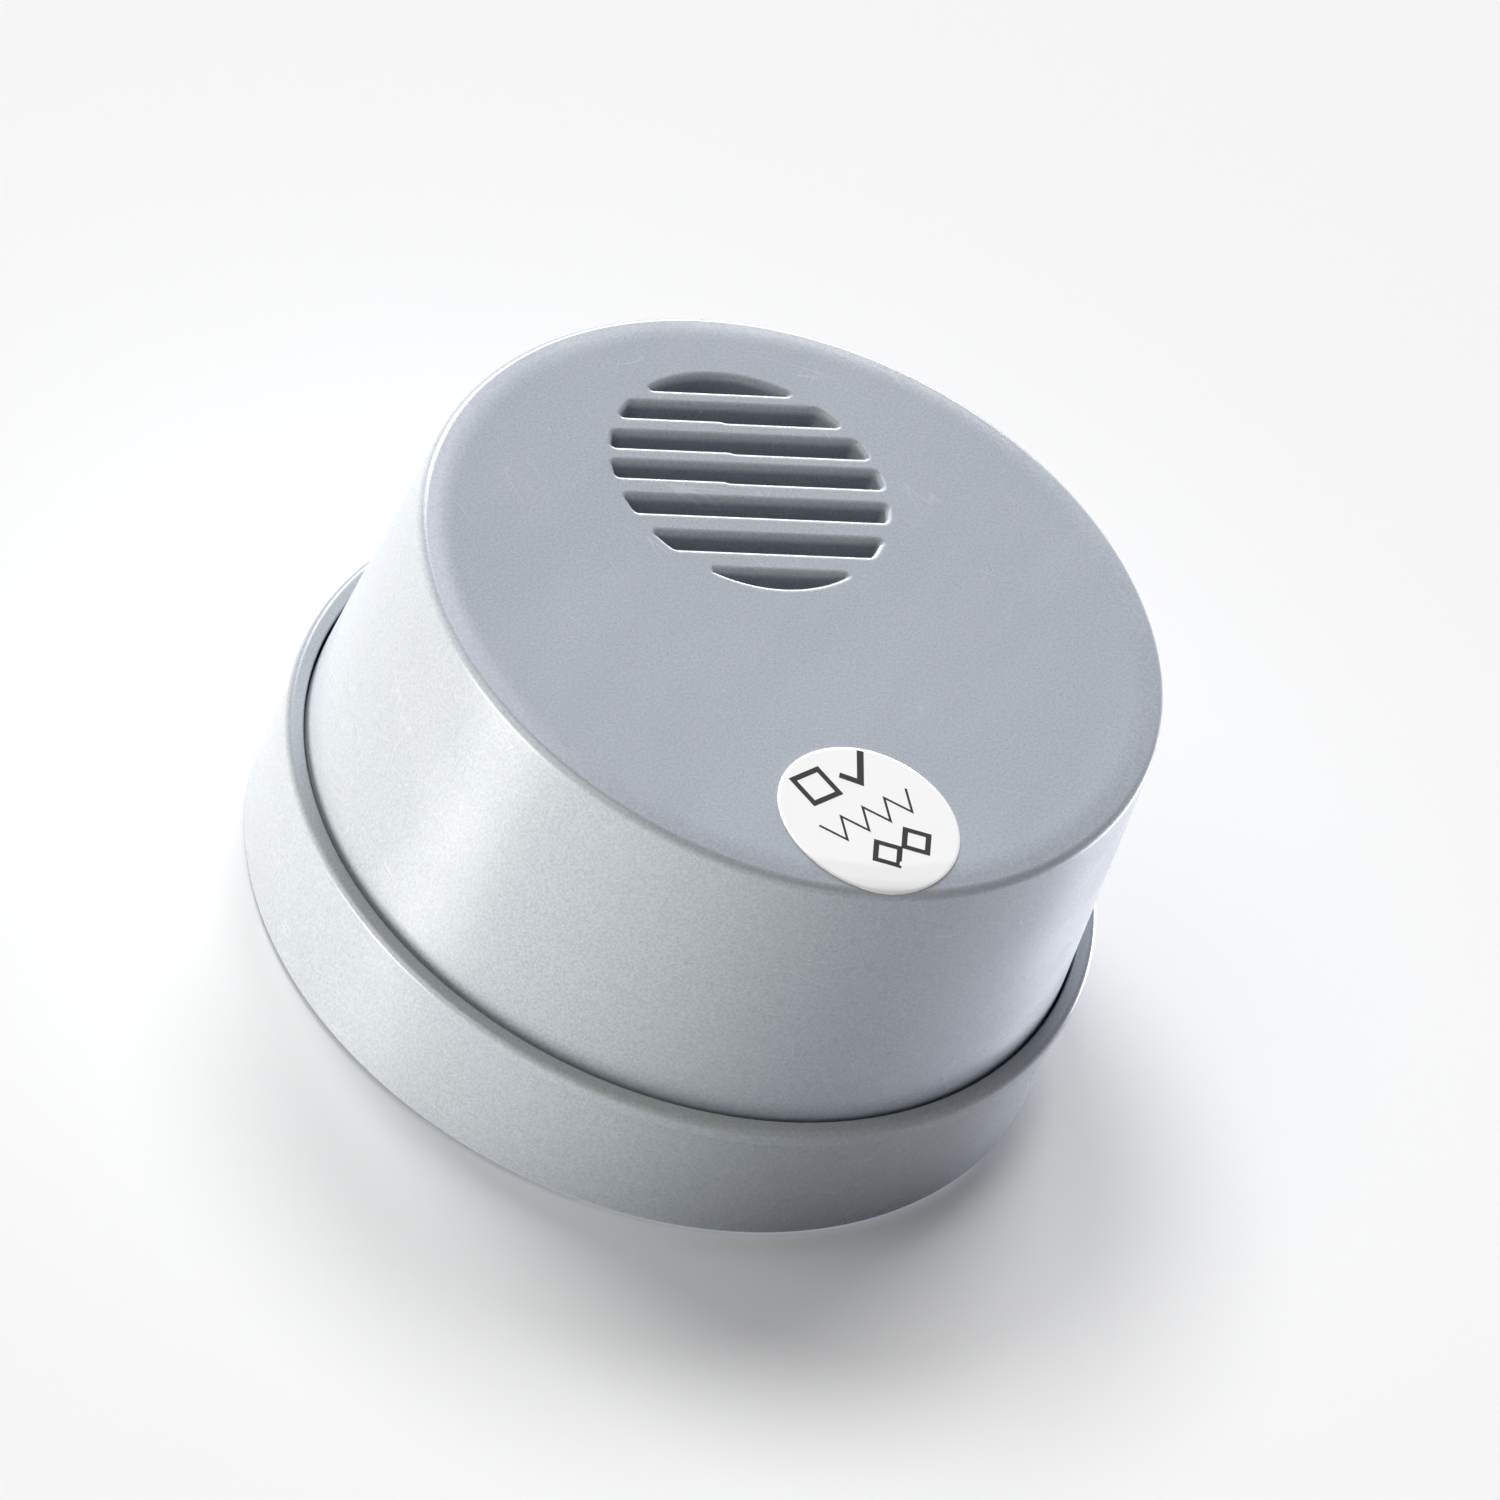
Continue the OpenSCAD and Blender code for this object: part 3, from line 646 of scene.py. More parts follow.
class Solid:
    """Points, normals and faces of one mesh while it is put together."""

    def __init__(self):
        self.points = []
        self.normals = []
        self.faces = []

    def ring(self, points, normals):
        """Adds a closed ring of points and returns the index of its first one."""
        first = len(self.points)
        self.points += points
        self.normals += normals
        return first

    def lathe_ring(self, sample, count, centre):
        """A ring of a lathe surface, or its one point on the axis."""
        r, z, nr, nz = sample
        if r < TINY:
            return self.ring([(*centre, z)], [(0, 0, nz)])
        turns = [2 * math.pi * i / count for i in range(count)]
        return self.ring(
            [(centre[0] + r * math.cos(a), centre[1] + r * math.sin(a), z) for a in turns],
            [(nr * math.cos(a), nr * math.sin(a), nz) for a in turns])

    def lathe(self, profile, count=ROUND_STEPS, centre=(0, 0), closed=False):
        """Joins the rings of a profile and returns its first and last ring."""
        rings = [self.lathe_ring(sample, count, centre) for sample in profile]
        pairs = list(zip(rings, rings[1:])) + ([(rings[-1], rings[0])] if closed else [])
        at_axis = {ring for ring, sample in zip(rings, profile) if sample[0] < TINY}
        for a, b in pairs:
            for i in range(count):
                k = (i + 1) % count
                if a in at_axis:
                    self.faces.append((a, b + i, b + k))
                elif b in at_axis:
                    self.faces.append((a + i, b, a + k))
                else:
                    self.faces.append((a + i, b + i, b + k, a + k))
        return rings[0], rings[-1]

    def plane(self, outer, holes, up):
        """Fills the flat area between one outer ring and its holes; each is (first, count)."""
        index = list(range(outer[0], outer[0] + outer[1]))
        edges, spans = [], []
        for first, count in holes:
            base = len(index)
            index += range(first, first + count)
            spans.append(range(base, base + count))
            edges += [(base + i, base + (i + 1) % count) for i in range(count)]
        flat = [Vector(self.points[i][:2]) for i in index]
        made = delaunay_2d_cdt(flat, edges, [list(range(outer[1]))], 1, 1e-7)
        if len(made[0]) != len(flat):
            raise ValueError("the outlines on a flat face cross each other")
        back = [inputs[0] for inputs in made[3]]
        rings = [[flat[i] for i in span] for span in spans]
        for triangle in made[2]:
            corners = [flat[back[i]] for i in triangle]
            centre = sum(corners, Vector((0, 0))) / 3
            if any(inside(centre, ring) for ring in rings):
                continue
            area = (corners[1] - corners[0]).cross(corners[2] - corners[0])
            order = triangle if (area > 0) == up else triangle[::-1]
            self.faces.append([index[back[i]] for i in order])

    def made(self, name, material):
        """The finished mesh object."""
        return make_object(name, self.points, self.faces, self.normals, MATERIALS[material])


def inside(point, ring):
    """Whether a point is inside a closed outline."""
    found = False
    for a, b in zip(ring, ring[1:] + ring[:1]):
        if (a.y > point.y) != (b.y > point.y):
            x = a.x + (point.y - a.y) * (b.x - a.x) / (b.y - a.y)
            found = found != (x > point.x)
    return found


# ---- front cap ----


def cap_wall_r(z):
    """Radius of the drafted wall's outside at a height."""
    return CAP_BASE_R - (z - LIP_Z) * math.tan(DRAFT)


# The face is flat as far as FACE_FLAT_R and then falls gently to its rounded edge
FACE_FLAT_R = 24.7
CROWN_X = 25.5
CROWN_R = 10
CROWN_FALL = math.tan(math.radians(8))
CROWN_IN = CROWN_FALL * math.tan(DRAFT)
CORNER_X = (cap_wall_r(FACE_Z) - CROWN_X * CROWN_IN) / (1 - CROWN_IN)
OUTLINE_STEP = 0.13
SMOOTHING_PASSES = 3
SLOT_END_STEPS = 40


def slot_outline(number):
    """The slot's outline in the grille's own axes, as evenly spaced points, anticlockwise."""
    last = number == len(SLOT_EDGES)
    low = -GRILLE_R - 1 if last else SLOT_EDGES[number]
    high = SLOT_EDGES[number - 1] - SLOT_PITCH + SLOT_W if last else low + SLOT_W
    if number == 0:
        high = GRILLE_R + 1
    left_low = low + SLOT_STEP if number in STEP_X else low

    def turn(y):
        """Angle at which the grille's circle is that high, on the right."""
        return math.asin(max(-1, min(1, y / GRILLE_R)))

    ends = ((turn(low), turn(high)), (math.pi - turn(high), math.pi - turn(left_low)))
    corners = []
    for start, end in ends:
        turns = [start + (end - start) * i / SLOT_END_STEPS for i in range(SLOT_END_STEPS + 1)]
        corners += [(GRILLE_R * math.cos(a), GRILLE_R * math.sin(a)) for a in turns]
    if number in STEP_X:
        corners += [(STEP_X[number], left_low), (STEP_X[number] + SLOT_STEP, low)]
    return smooth_outline([Vector(c) for c in corners])


def smooth_outline(corners):
    """Evenly spaced points along a closed outline, with its corners a little rounded."""
    pairs = [(a, b) for a, b in zip(corners, corners[1:] + corners[:1]) if (b - a).length > TINY]
    total = sum((b - a).length for a, b in pairs)
    count = round(total / OUTLINE_STEP)
    points = []
    walked, pair = 0.0, 0
    for i in range(count):
        target = total * i / count
        while walked + (pairs[pair][1] - pairs[pair][0]).length < target:
            walked += (pairs[pair][1] - pairs[pair][0]).length
            pair += 1
        a, b = pairs[pair]
        points.append(a + (b - a) * ((target - walked) / (b - a).length))
    for _ in range(SMOOTHING_PASSES):
        points = [(points[i - 1] + points[i] * 2 + points[(i + 1) % count]) / 4
                  for i in range(count)]
    return points


def outward(points):
    """The outward unit normal at each point of an anticlockwise outline."""
    count = len(points)
    tangents = [points[(i + 1) % count] - points[i - 1] for i in range(count)]
    return [Vector((t.y, -t.x)).normalized() for t in tangents]


LIP_STEPS = 5
# Reach and depth of a slot's lip on its lower side and on its upper side
NEAR_LIP = (0.48, 0.22)
FAR_LIP = (0.55, 0.65)
UNDER_LIP = 0.12


def add_slot(solid, number):
    """The walls of one slot, with its rounded lips; returns its ring on each face."""
    outline = slot_outline(number)
    normals = outward(outline)
    count = len(outline)
    centre = Vector((GRILLE_X, GRILLE_Y))

    def ring(angle, sizes, z, side):
        """One ring round the slot: sizes gives the lip's reach and depth at each point."""
        c, s = math.cos(angle), math.sin(angle)
        points, facing = [], []
        for p, n, (reach, drop) in zip(outline, normals, sizes):
            at = centre + p + n * reach * (1 - s)
            points.append((at.x, at.y, z - side * drop * (1 - c)))
            facing.append((-n.x * s / reach, -n.y * s / reach, side * c / drop))
        return solid.ring(points, facing)

    blend = [min(1, max(0, 0.5 - n.y)) for n in normals]
    top = [tuple(f + (e - f) * t for f, e in zip(FAR_LIP, NEAR_LIP)) for t in blend]
    under = [(UNDER_LIP, UNDER_LIP)] * count
    angles = [math.pi / 2 * i / LIP_STEPS for i in range(LIP_STEPS + 1)]
    rings = [ring(a, top, FACE_Z, 1) for a in angles]
    rings += [ring(a, under, UNDER_Z, -1) for a in reversed(angles)]
    for a, b in zip(rings, rings[1:]):
        solid.faces += loop_faces(a, b, count)
    return (rings[0], count), (rings[-1], count)


POST_RING_R = 21.3
POST_ANGLES = (30, 150, 270)
POST_R = 2.45
POST_BORE_R = 1.1
POST_FOOT_Z = 20.2
POST_BORE_TOP = 26.7
POST_SHOULDER_R = 4
POST_SHOULDER_Z = 27.6
SEAT_WALL = 0.8
SEAT_DEPTH = 0.9
ROD_R = 2.2
ROD_FOOT_Z = 28.95
ROD_Y = -9
POST_STEPS = 48
SEAT_STEPS = 96
# How far the roots of the posts, the rod and the seat go into the face
SUNK = 0.05
# Width of the flat ring between the wall's inner corner and the triangles of the underside
UNDER_RIM = 1.5
# The wall meets the straight skirt just below the collar's lip
SHOULDER_Z = LIP_Z - 0.6
SHOULDER_FOOT_Z = LIP_Z - 0.65


def add_post(solid, angle):
    """A guide post with its pilot hole and the shoulder that the spring presses on."""
    turn = math.radians(angle)
    centre = (POST_RING_R * math.cos(turn), POST_RING_R * math.sin(turn))
    top = UNDER_Z + SUNK
    corners = [(0, top), (POST_SHOULDER_R, top), (POST_SHOULDER_R, POST_SHOULDER_Z),
               (POST_R, POST_SHOULDER_Z), (POST_R, POST_FOOT_Z), (POST_BORE_R, POST_FOOT_Z),
               (POST_BORE_R, POST_BORE_TOP), (0, POST_BORE_TOP)]
    solid.lathe(rounded(corners, [0, 0.02, 0.2, 0.2, 0.15, 0.15, 0.1, 0]), POST_STEPS, centre)


def cap_profile():
    """The cap's profile, from the flat of its face down its wall and up inside it."""
    wall_in = cap_wall_r(UNDER_Z) - CAP_WALL
    skirt_in = CAP_BASE_R - CAP_WALL
    corner_z = FACE_Z - (CORNER_X - CROWN_X) * CROWN_FALL
    corners = [(FACE_FLAT_R, FACE_Z), (CROWN_X, FACE_Z), (CORNER_X, corner_z),
               (cap_wall_r(SHOULDER_Z), SHOULDER_Z), (CAP_BASE_R, SHOULDER_FOOT_Z),
               (CAP_BASE_R, SKIRT_Z), (skirt_in, SKIRT_Z), (skirt_in, LIP_Z),
               (wall_in, UNDER_Z), (wall_in - UNDER_RIM, UNDER_Z)]
    return rounded(corners, [0, CROWN_R, CAP_EDGE_R, 0.02, 0.02, 0.3, 0.3, 0.5, 1, 0])


def make_front_cap():
    """The cap's shell: face with slots, rounded edge, drafted wall, skirt, hollow and posts."""
    solid = Solid()
    first, last = solid.lathe(cap_profile())
    slots = [add_slot(solid, i) for i in range(len(SLOT_EDGES) + 1)]
    solid.plane((first, ROUND_STEPS), [top for top, _ in slots], True)
    solid.plane((last, ROUND_STEPS), [under for _, under in slots], False)
    for angle in POST_ANGLES:
        add_post(solid, angle)
    rod = [(0, UNDER_Z + SUNK), (ROD_R, UNDER_Z + SUNK), (ROD_R, ROD_FOOT_Z), (0, ROD_FOOT_Z)]
    solid.lathe(rounded(rod, [0, 0.02, 0.2, 0]), POST_STEPS, (0, ROD_Y))
    ring = [(SEAT_R, UNDER_Z + SUNK), (SEAT_R + SEAT_WALL, UNDER_Z + SUNK),
            (SEAT_R + SEAT_WALL, UNDER_Z - SEAT_DEPTH), (SEAT_R, UNDER_Z - SEAT_DEPTH)]
    seat = rounded(ring, [0.02, 0.02, 0.15, 0.15], closed=True)
    solid.lathe(seat, SEAT_STEPS, (0, GRILLE_Y), closed=True)
    cap = solid.made("cap_shell", "shell_plastic")
    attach(cap, "cap")
    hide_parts("front_cap")


# ---- collar ----

LIP_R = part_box("collar")[1].x / MM
FOOT_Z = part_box("collar")[0].z / MM
LIP_EDGE_R = 0.5
LIP_DROP = 1.15
COLLAR_TOP_R = 29.7
COLLAR_FOOT_R = 29.8
CAP_GAP = 0.2
COLLAR_LOW_R = 28
COLLAR_STEP_Z = 6.2

LUG_TURNS = (30, 150, 270)
LUG_INNER_R = 26.3
LUG_ANGLE = 24
LUG_Z = 2.2
LUG_T = 1.3
STOP_GAP = 0.6
STOP_ANGLE = 3
STOP_TOP_Z = 5.0
# A stop stands on its lug: clear of the lug's end and sides, with its foot inside it
STOP_MARGIN = 0.5
STOP_IN = 0.1
STOP_RISE = 0.4

TAB_TURNS = (90, 222, 318)
TAB_RING_R = 22.2
TAB_R = 2.7
TAB_HALF_W = 2.4
TAB_Z = 5.2
TAB_TOP_Z = 6.4
TAB_HOLE_R = 1.15
HOLE_STEP = 7.5

EDGE_STEPS = 3
SLAB_EDGE = 0.12
ROOT_IN_WALL = 0.4


def add_slab(solid, outline, holes, low, high):
    """A flat slab inside an anticlockwise outline and outside its holes, with rounded edges."""
    tops, unders = [], []
    angles = [math.pi / 2 * i / EDGE_STEPS for i in range(EDGE_STEPS + 1)]
    steps = [(high, 1, a) for a in angles] + [(low, -1, a) for a in reversed(angles)]
    for points, side in [(outline, 1)] + [(hole, -1) for hole in holes]:
        facing = [n * side for n in outward(points)]
        rings = []
        for z, up, a in steps:
            c, s = math.cos(a), math.sin(a)
            inset, drop = SLAB_EDGE * (1 - s), SLAB_EDGE * (1 - c)
            rings.append(solid.ring(
                [(p.x - n.x * inset, p.y - n.y * inset, z - up * drop)
                 for p, n in zip(points, facing)],
                [(n.x * s, n.y * s, up * c) for n in facing]))
        for a, b in zip(rings, rings[1:]):
            solid.faces += loop_faces(*((b, a) if side == 1 else (a, b)), len(points))
        tops.append((rings[0], len(points)))
        unders.append((rings[-1], len(points)))
    solid.plane(tops[0], tops[1:], True)
    solid.plane(unders[0], unders[1:], False)


def arc(size, start, end, centre=(0, 0), step=2.0):
    """Points along an arc of that radius between two angles in degrees."""
    count = max(2, round(abs(end - start) / step))
    turns = [math.radians(start + (end - start) * i / count) for i in range(count + 1)]
    return [Vector((centre[0] + size * math.cos(a), centre[1] + size * math.sin(a)))
            for a in turns]


def arc_band(inner, outer, start, sweep):
    """Outline of a piece of a flat ring."""
    return smooth_outline(arc(outer, start, start + sweep) + arc(inner, start + sweep, start))


def turned(points, degrees):
    """The points turned about the axis."""
    c, s = math.cos(math.radians(degrees)), math.sin(math.radians(degrees))
    return [Vector((p.x * c - p.y * s, p.x * s + p.y * c)) for p in points]


def make_collar():
    """The collar's shell with its rounded lip, the bayonet lugs and stops, and the screw tabs."""
    solid = Solid()
    bore = CAP_BASE_R + CAP_GAP
    lip_foot = LIP_Z - LIP_DROP
    corners = [(bore, LIP_Z), (LIP_R, LIP_Z), (LIP_R, lip_foot), (COLLAR_TOP_R, lip_foot - 0.1),
               (COLLAR_FOOT_R, FOOT_Z), (COLLAR_LOW_R, FOOT_Z), (COLLAR_LOW_R, COLLAR_STEP_Z),
               (bore, COLLAR_STEP_Z)]
    radii = [0.15, LIP_EDGE_R, 0.15, 0.12, 0.35, 0.2, 0.1, 0.1]
    solid.lathe(rounded(corners, radii, closed=True), closed=True)
    root = COLLAR_LOW_R + ROOT_IN_WALL
    for turn in LUG_TURNS:
        start = turn - LUG_ANGLE / 2
        sweep = LUG_ANGLE + STOP_GAP + STOP_ANGLE + STOP_MARGIN
        add_slab(solid, arc_band(LUG_INNER_R, root, start, sweep), [], LUG_Z, LUG_Z + LUG_T)
        stop_start = turn + LUG_ANGLE / 2 + STOP_GAP
        stop = arc_band(LUG_INNER_R + STOP_IN, root - STOP_IN, stop_start, STOP_ANGLE)
        add_slab(solid, stop, [], LUG_Z + STOP_RISE, STOP_TOP_Z)
    side = math.degrees(math.asin(TAB_HALF_W / TAB_R))
    centre = (TAB_RING_R, 0)
    tab = arc(TAB_R, side, 360 - side, centre)
    tab += [Vector((root, -TAB_HALF_W)), Vector((root, TAB_HALF_W))]
    hole = arc(TAB_HOLE_R, 0, 360 - HOLE_STEP, centre, step=HOLE_STEP)
    for turn in TAB_TURNS:
        outline = turned(smooth_outline(tab), turn)
        add_slab(solid, outline, [turned(hole, turn)], TAB_Z, TAB_TOP_Z)
    collar = solid.made("collar_shell", "shell_plastic")
    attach(collar, "housing")
    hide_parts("collar")


# ---- return springs ----

COIL_R = 3.05
WIRE_R = 0.28
SPRING_FOOT_Z = 21.6
SPRING_LENGTH = POST_SHOULDER_Z - SPRING_FOOT_Z
COIL_TURNS = 5.5
STEPS_PER_TURN = 28
WIRE_SIDES = 10


def coil_height(turn):
    """Height of the wire's middle over the coil's foot: one closed turn at each end."""
    closed = 2 * WIRE_R
    open_pitch = (SPRING_LENGTH - 2 * WIRE_R - 2 * closed) / (COIL_TURNS - 2)
    open_turns = min(max(turn - 1, 0), COIL_TURNS - 2)
    closed_turns = min(turn, 1) + max(turn - COIL_TURNS + 1, 0)
    return WIRE_R + closed * closed_turns + open_pitch * open_turns


def make_springs():
    """Three wire springs with closed ends round the cap's guide posts."""
    solid = Solid()
    steps = round(COIL_TURNS * STEPS_PER_TURN)
    for start in POST_ANGLES:
        cx = POST_RING_R * math.cos(math.radians(start))
        cy = POST_RING_R * math.sin(math.radians(start))
        rings = []
        for i in range(steps + 1):
            turn = COIL_TURNS * i / steps
            a = 2 * math.pi * turn
            z = SPRING_FOOT_Z + coil_height(turn)
            points, facing = [], []
            for k in range(WIRE_SIDES):
                b = 2 * math.pi * k / WIRE_SIDES
                out, up = math.cos(b), math.sin(b)
                reach = COIL_R + WIRE_R * out
                points.append((cx + reach * math.cos(a), cy + reach * math.sin(a), z + WIRE_R * up))
                facing.append((out * math.cos(a), out * math.sin(a), up))
            rings.append(solid.ring(points, facing))
        for a, b in zip(rings, rings[1:]):
            solid.faces += loop_faces(b, a, WIRE_SIDES)
        solid.faces.append([rings[0] + k for k in range(WIRE_SIDES)])
        solid.faces.append([rings[-1] + k for k in reversed(range(WIRE_SIDES))])
    springs = solid.made("return_springs", "spring_steel")
    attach(springs, "housing")
    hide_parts("cap_return_springs")
    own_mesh(springs)


# ---- inspection label ----

CAP_OUTSIDE = cap_profile()
LABEL_EDGE = 0.03
LABEL_SUNK = -0.02


def on_cap(x, y, height):
    """The point at that height over the cap, for a sheet that follows its face and its edge."""
    r = math.hypot(x, y)
    if r <= FACE_FLAT_R:
        return (x, y, FACE_Z + height)
    walked = FACE_FLAT_R
    for here, after in zip(CAP_OUTSIDE, CAP_OUTSIDE[1:]):
        length = math.hypot(after[0] - here[0], after[1] - here[1])
        if walked + length >= r:
            break
        walked += length
    share = (r - walked) / length
    reach, z, out, up = [a + (b - a) * share for a, b in zip(here, after)]
    reach += height * out
    return (x * reach / r, y * reach / r, z + height * up)


def make_label():
    """A round gloss sticker, its lower edge pressed over the cap's rounded edge."""
    count, rings = 128, 30
    points = [on_cap(0, LABEL_Y, LABEL_T)]
    sizes = [(LABEL_R - LABEL_EDGE) * i / rings for i in range(1, rings + 1)]
    heights = [LABEL_T] * rings
    sizes += [LABEL_R, LABEL_R, LABEL_R * 0.9]
    heights += [LABEL_T - LABEL_EDGE, LABEL_SUNK, LABEL_SUNK]
    for size, height in zip(sizes, heights):
        for i in range(count):
            a = 2 * math.pi * i / count
            points.append(on_cap(size * math.cos(a), LABEL_Y + size * math.sin(a), height))
    points.append(on_cap(0, LABEL_Y, LABEL_SUNK))
    faces = [(0, 1 + i, 1 + (i + 1) % count) for i in range(count)]
    for k in range(len(sizes) - 1):
        faces += [f[::-1] for f in loop_faces(1 + k * count, 1 + (k + 1) * count, count)]
    last = 1 + (len(sizes) - 1) * count
    faces += [(last + (i + 1) % count, last + i, len(points) - 1) for i in range(count)]
    label = make_object("label_sheet", points, faces, None, MATERIALS["label_paper"])
    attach(label, "cap")
    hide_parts("inspection_label")


def diamond(x, y, half):
    """Corners of a square that stands on one of them."""
    return [(x - half, y), (x, y - half), (x + half, y), (x, y + half)]


ZIGZAG = [(-3.9 + 1.05 * i, 0.95 * (-1) ** i + 0.1) for i in range(9)]

# The print's strokes: corners in the label's own axes, line width, whether the line closes
PRINT = (
    ([(-2.8, 2.8), (-0.4, 2.8), (-0.4, 5.2), (-2.8, 5.2)], 0.42, True),
    ([(0.75, 4.1), (1.75, 2.9), (3.75, 5.2)], 0.5, False),
    (ZIGZAG, 0.18, False),
    (diamond(-0.95, -3.1, 1.2), 0.4, True),
    (diamond(1.85, -3.1, 1.2), 0.4, True),
)
INK_TOP = LABEL_T + 0.012
INK_FOOT = LABEL_T - 0.01


def edges_of(corners, width, closed):
    """The points to the right and to the left of each corner of a line of that width."""
    count = len(corners)
    sides = []
    for i, corner in enumerate(corners):
        here = Vector(corner)
        before = here - Vector(corners[i - 1])
        after = Vector(corners[(i + 1) % count]) - here
        if not closed and i == 0:
            before = after
        if not closed and i == count - 1:
            after = before
        first, second = [Vector((-way.y, way.x)).normalized() for way in (before, after)]
        out = (first + second) * width / 2 / (1 + first.dot(second))
        sides.append((here - out, here + out))
    return sides


def make_print():
    """The label's generic print: a box and a tick, a thin zigzag and two diamonds."""
    c, s = math.cos(LABEL_TURN), math.sin(LABEL_TURN)
    points, faces = [], []
    for corners, width, closed in PRINT:
        base = len(points)
        for pair in edges_of(corners, width, closed):
            for p in pair:
                x, y = p.x * c - p.y * s, LABEL_Y + p.x * s + p.y * c
                points += [on_cap(x, y, INK_TOP), on_cap(x, y, INK_FOOT)]
        count = len(corners)
        for i in range(count if closed else count - 1):
            right, right_foot, left, left_foot = [base + 4 * i + n for n in range(4)]
            after = base + 4 * ((i + 1) % count)
            on, on_foot, on_left, on_left_foot = [after + n for n in range(4)]
            faces += [(right, on, on_left, left), (left_foot, on_left_foot, on_foot, right_foot),
                      (right_foot, on_foot, on, right), (on_left_foot, left_foot, left, on_left)]
        if not closed:
            last = base + 4 * (count - 1)
            faces += [(base + 3, base + 1, base, base + 2), (last + 1, last + 3, last + 2, last)]
    ink = make_object("label_print", points, faces, None, MATERIALS["label_ink"])
    ink.data.shade_flat()
    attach(ink, "cap")


# ---- carried-over CAD nodes ----

# Nodes whose sharp edges are rounded, by the width of the round in millimetres
EDGE_WIDTHS = {
    0.05: ("switch_cover", "controller_chip", "driver_chip", "chip_parts", "contact_plate"),
    0.06: ("circuit_board", "chassis_screws", "board_screws", "plate_pad"),
    0.08: ("cap_guide_screws",),
    0.1: ("mesh_ring", "sensor_cell", "sensor_filter", "step_up_coil"),
    0.12: ("chassis", "sounder_lid", "sensor_base", "switch_body"),
    0.15: ("back_plate", "sounder_body", "storage_capacitor"),
    0.2: ("switch_plunger",),
    0.3: ("sensor_can",),
    0.4: ("battery_terminal",),
    0.6: ("battery_cell",),
}


def soften(name, width):
    """Rounds a CAD node's sharp edges."""
    modifiers = NODES[name].modifiers
    weld = modifiers.new("weld", "WELD")
    weld.merge_threshold = mm(0.002)
    flat = modifiers.new("flat", "DECIMATE")
    flat.decimate_type = "DISSOLVE"
    flat.angle_limit = math.radians(1)
    bevel = modifiers.new("bevel", "BEVEL")
    bevel.width = mm(width)
    bevel.segments = 2
    bevel.limit_method = "ANGLE"
    bevel.angle_limit = math.radians(40)
    bevel.harden_normals = True


def finish_nodes():
    """Gives every CAD node its material, and rounds the sharp edges of the nodes listed in
    EDGE_WIDTHS.
    """
    slots = {part["node"]: part["material_slot"] for part in frame["record"]["subparts"]}
    for name, node in NODES.items():
        material = MATERIALS.get(OWN_MATERIAL.get(name, slots[name]), MATERIALS["shell_plastic"])
        node.data.materials.clear()
        node.data.materials.append(material)
    for width, names in EDGE_WIDTHS.items():
        for name in names:
            soften(name, width)


# ---- stage ----

FLOOR_RINGS = (0, 100, 400, 2000, 10000)
FLOOR_Z = -0.02

WHITE = (1, 1, 1)
WARM = (1.0, 0.99, 0.92)
YELLOW = (1.0, 0.98, 0.82)
AMBER = (1.0, 0.8, 0.6)
COOL = (0.97, 0.98, 1.07)

# Each lamp: direction (azimuth from +X, elevation), level on a white surface square to it,
# apparent size in degrees, colour. The cap, the rest of the detector and the floor each have
# their own lamps, so that each of the photograph's glows can be set by itself. The low lamps
# shine through the floor, as the glow of a lit table would.
LAMPS = {
    "cap side": {
        "left_low": (180, -20, 1.12, 32, WARM),
        "left_back_low": (150, -20, 0.35, 32, AMBER),
        "right_low": (10, -20, 1.0, 32, COOL),
        "front_fill": (-84, 10, 0.10, 40, (0.97, 0.98, 1.05)),
        "back": (90, 25, 0.75, 32, (0.96, 1.0, 1.07)),
        "back_high": (90, 50, 0.34, 32, (0.97, 0.96, 1.10)),
        "left_high": (180, 50, 0.35, 45, YELLOW),
        "back_rim": (64, 8, 0.5, 24, (1.0, 0.97, 0.90)),
    },
    "collar side": {
        "collar_left_low": (180, -20, 1.12, 32, WARM),
        "collar_left_back_low": (150, -20, 0.35, 32, AMBER),
        "collar_right_low": (30, -15, 1.5, 20, COOL),
        "collar_back": (75, 25, 0.87, 32, (0.96, 1.0, 1.06)),
        "collar_left_high": (180, 50, 0.42, 45, YELLOW),
    },
    "stage": {
        "floor_back": (112, 56, 0.42, 22, WHITE),
        "floor_right": (64, 56, 0.38, 22, WHITE),
        "floor_left": (180, 62, 0.22, 40, WHITE),
        "floor_top": (0, 90, 0.1, 60, WHITE),
    },
}
CAP_SIDE = ("cap_shell", "label_sheet", "label_print")


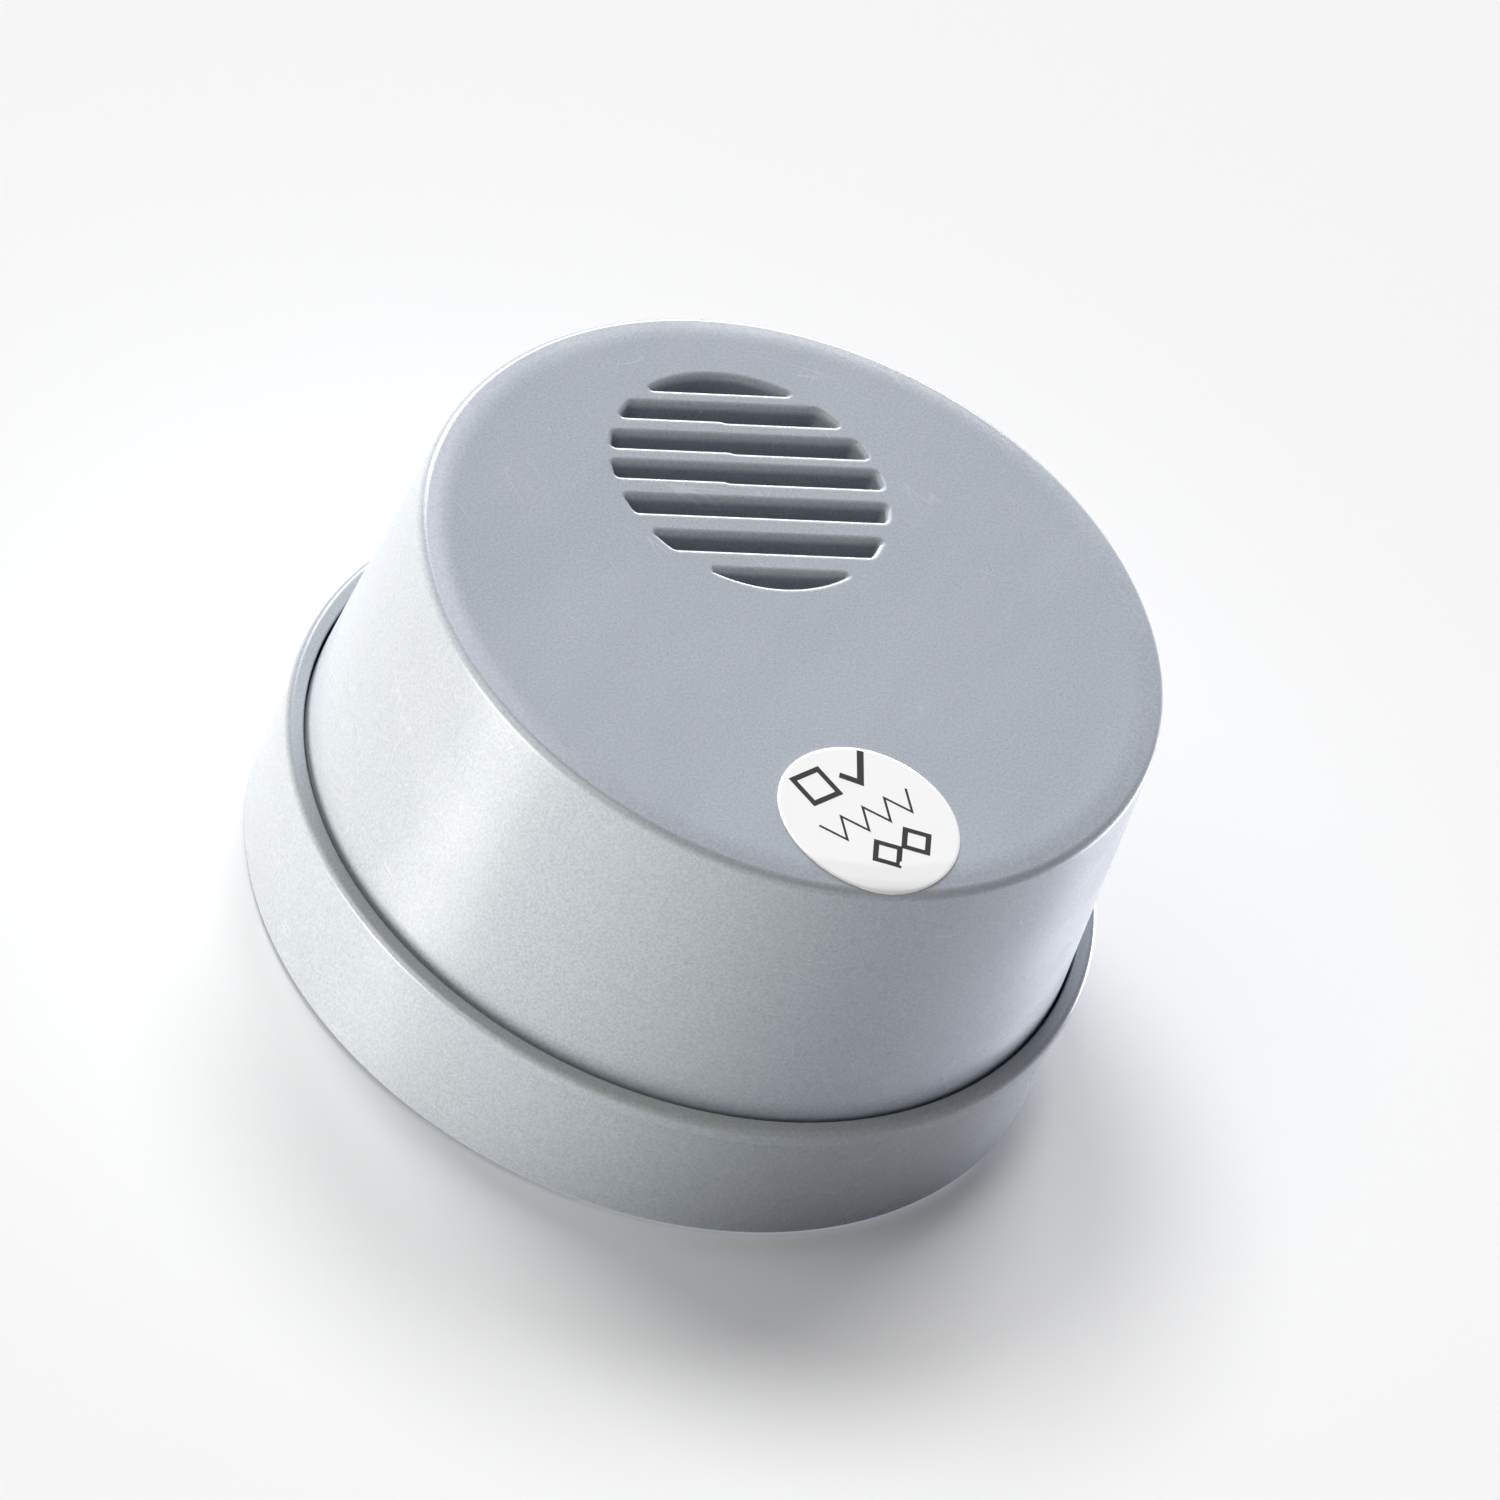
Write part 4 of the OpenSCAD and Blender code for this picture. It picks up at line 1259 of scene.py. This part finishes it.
def make_lamp(name, azimuth, elevation, level, size, colour, receivers, blockers):
    """A broad lamp far away in that direction, which lights only the receivers."""
    data = bpy.data.lights.new(name, "SUN")
    data.energy = level * math.pi
    data.angle = math.radians(size)
    data.color = colour
    lamp = bpy.data.objects.new(name, data)
    a, e = math.radians(azimuth), math.radians(elevation)
    towards = Vector((math.cos(a) * math.cos(e), math.sin(a) * math.cos(e), math.sin(e)))
    lamp.rotation_mode = "QUATERNION"
    lamp.rotation_quaternion = towards.to_track_quat("Z", "Y")
    lamp.light_linking.receiver_collection = receivers
    lamp.light_linking.blocker_collection = blockers
    bpy.context.scene.collection.objects.link(lamp)


def make_lamps():
    """The lamps, each lighting only its own group of pieces."""
    groups = {name: bpy.data.collections.new(name) for name in LAMPS}
    detector = bpy.data.collections.new("detector")
    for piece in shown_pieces():
        detector.objects.link(piece)
        groups["cap side" if piece.name in CAP_SIDE else "collar side"].objects.link(piece)
    groups["stage"].objects.link(bpy.data.objects["floor"])
    for group, lamps in LAMPS.items():
        for name, lamp in lamps.items():
            make_lamp(name, *lamp, groups[group], None if group == "stage" else detector)


def make_world(level, seen):
    """Even light from all round; the camera and reflections see the same white as the floor."""
    world = bpy.data.worlds.new("studio")
    bpy.context.scene.world = world
    world.use_nodes = True
    nodes, links = world.node_tree.nodes, world.node_tree.links
    lit = nodes["Background"]
    lit.inputs[0].default_value = (*level, 1)
    shown = nodes.new("ShaderNodeBackground")
    shown.inputs[0].default_value = (seen, seen, seen, 1)
    ray = nodes.new("ShaderNodeLightPath")
    either = nodes.new("ShaderNodeMath")
    either.operation = "MAXIMUM"
    links.new(ray.outputs["Is Camera Ray"], either.inputs[0])
    links.new(ray.outputs["Is Glossy Ray"], either.inputs[1])
    mix = nodes.new("ShaderNodeMixShader")
    links.new(either.outputs[0], mix.inputs[0])
    links.new(lit.outputs[0], mix.inputs[1])
    links.new(shown.outputs[0], mix.inputs[2])
    links.new(mix.outputs[0], nodes["World Output"].inputs[0])


def make_floor():
    """A wide pale sheet that the detector stands on."""
    paint = Paint("floor_paper", (0.9, 0.9, 0.9), 0.9)
    paint.set("Specular IOR Level", 0.1)
    solid = Solid()
    solid.lathe([(r, FLOOR_Z, 0, 1) for r in FLOOR_RINGS], 96)
    floor = make_object("floor", solid.points, solid.faces, solid.normals, paint.material)
    floor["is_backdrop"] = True


bpy.context.scene.view_settings.view_transform = "Standard"
make_camera()
make_world((0.05, 0.05, 0.052), 0.94)
make_floor()
make_front_cap()
make_label()
make_print()
make_collar()
make_springs()
finish_nodes()
make_lamps()
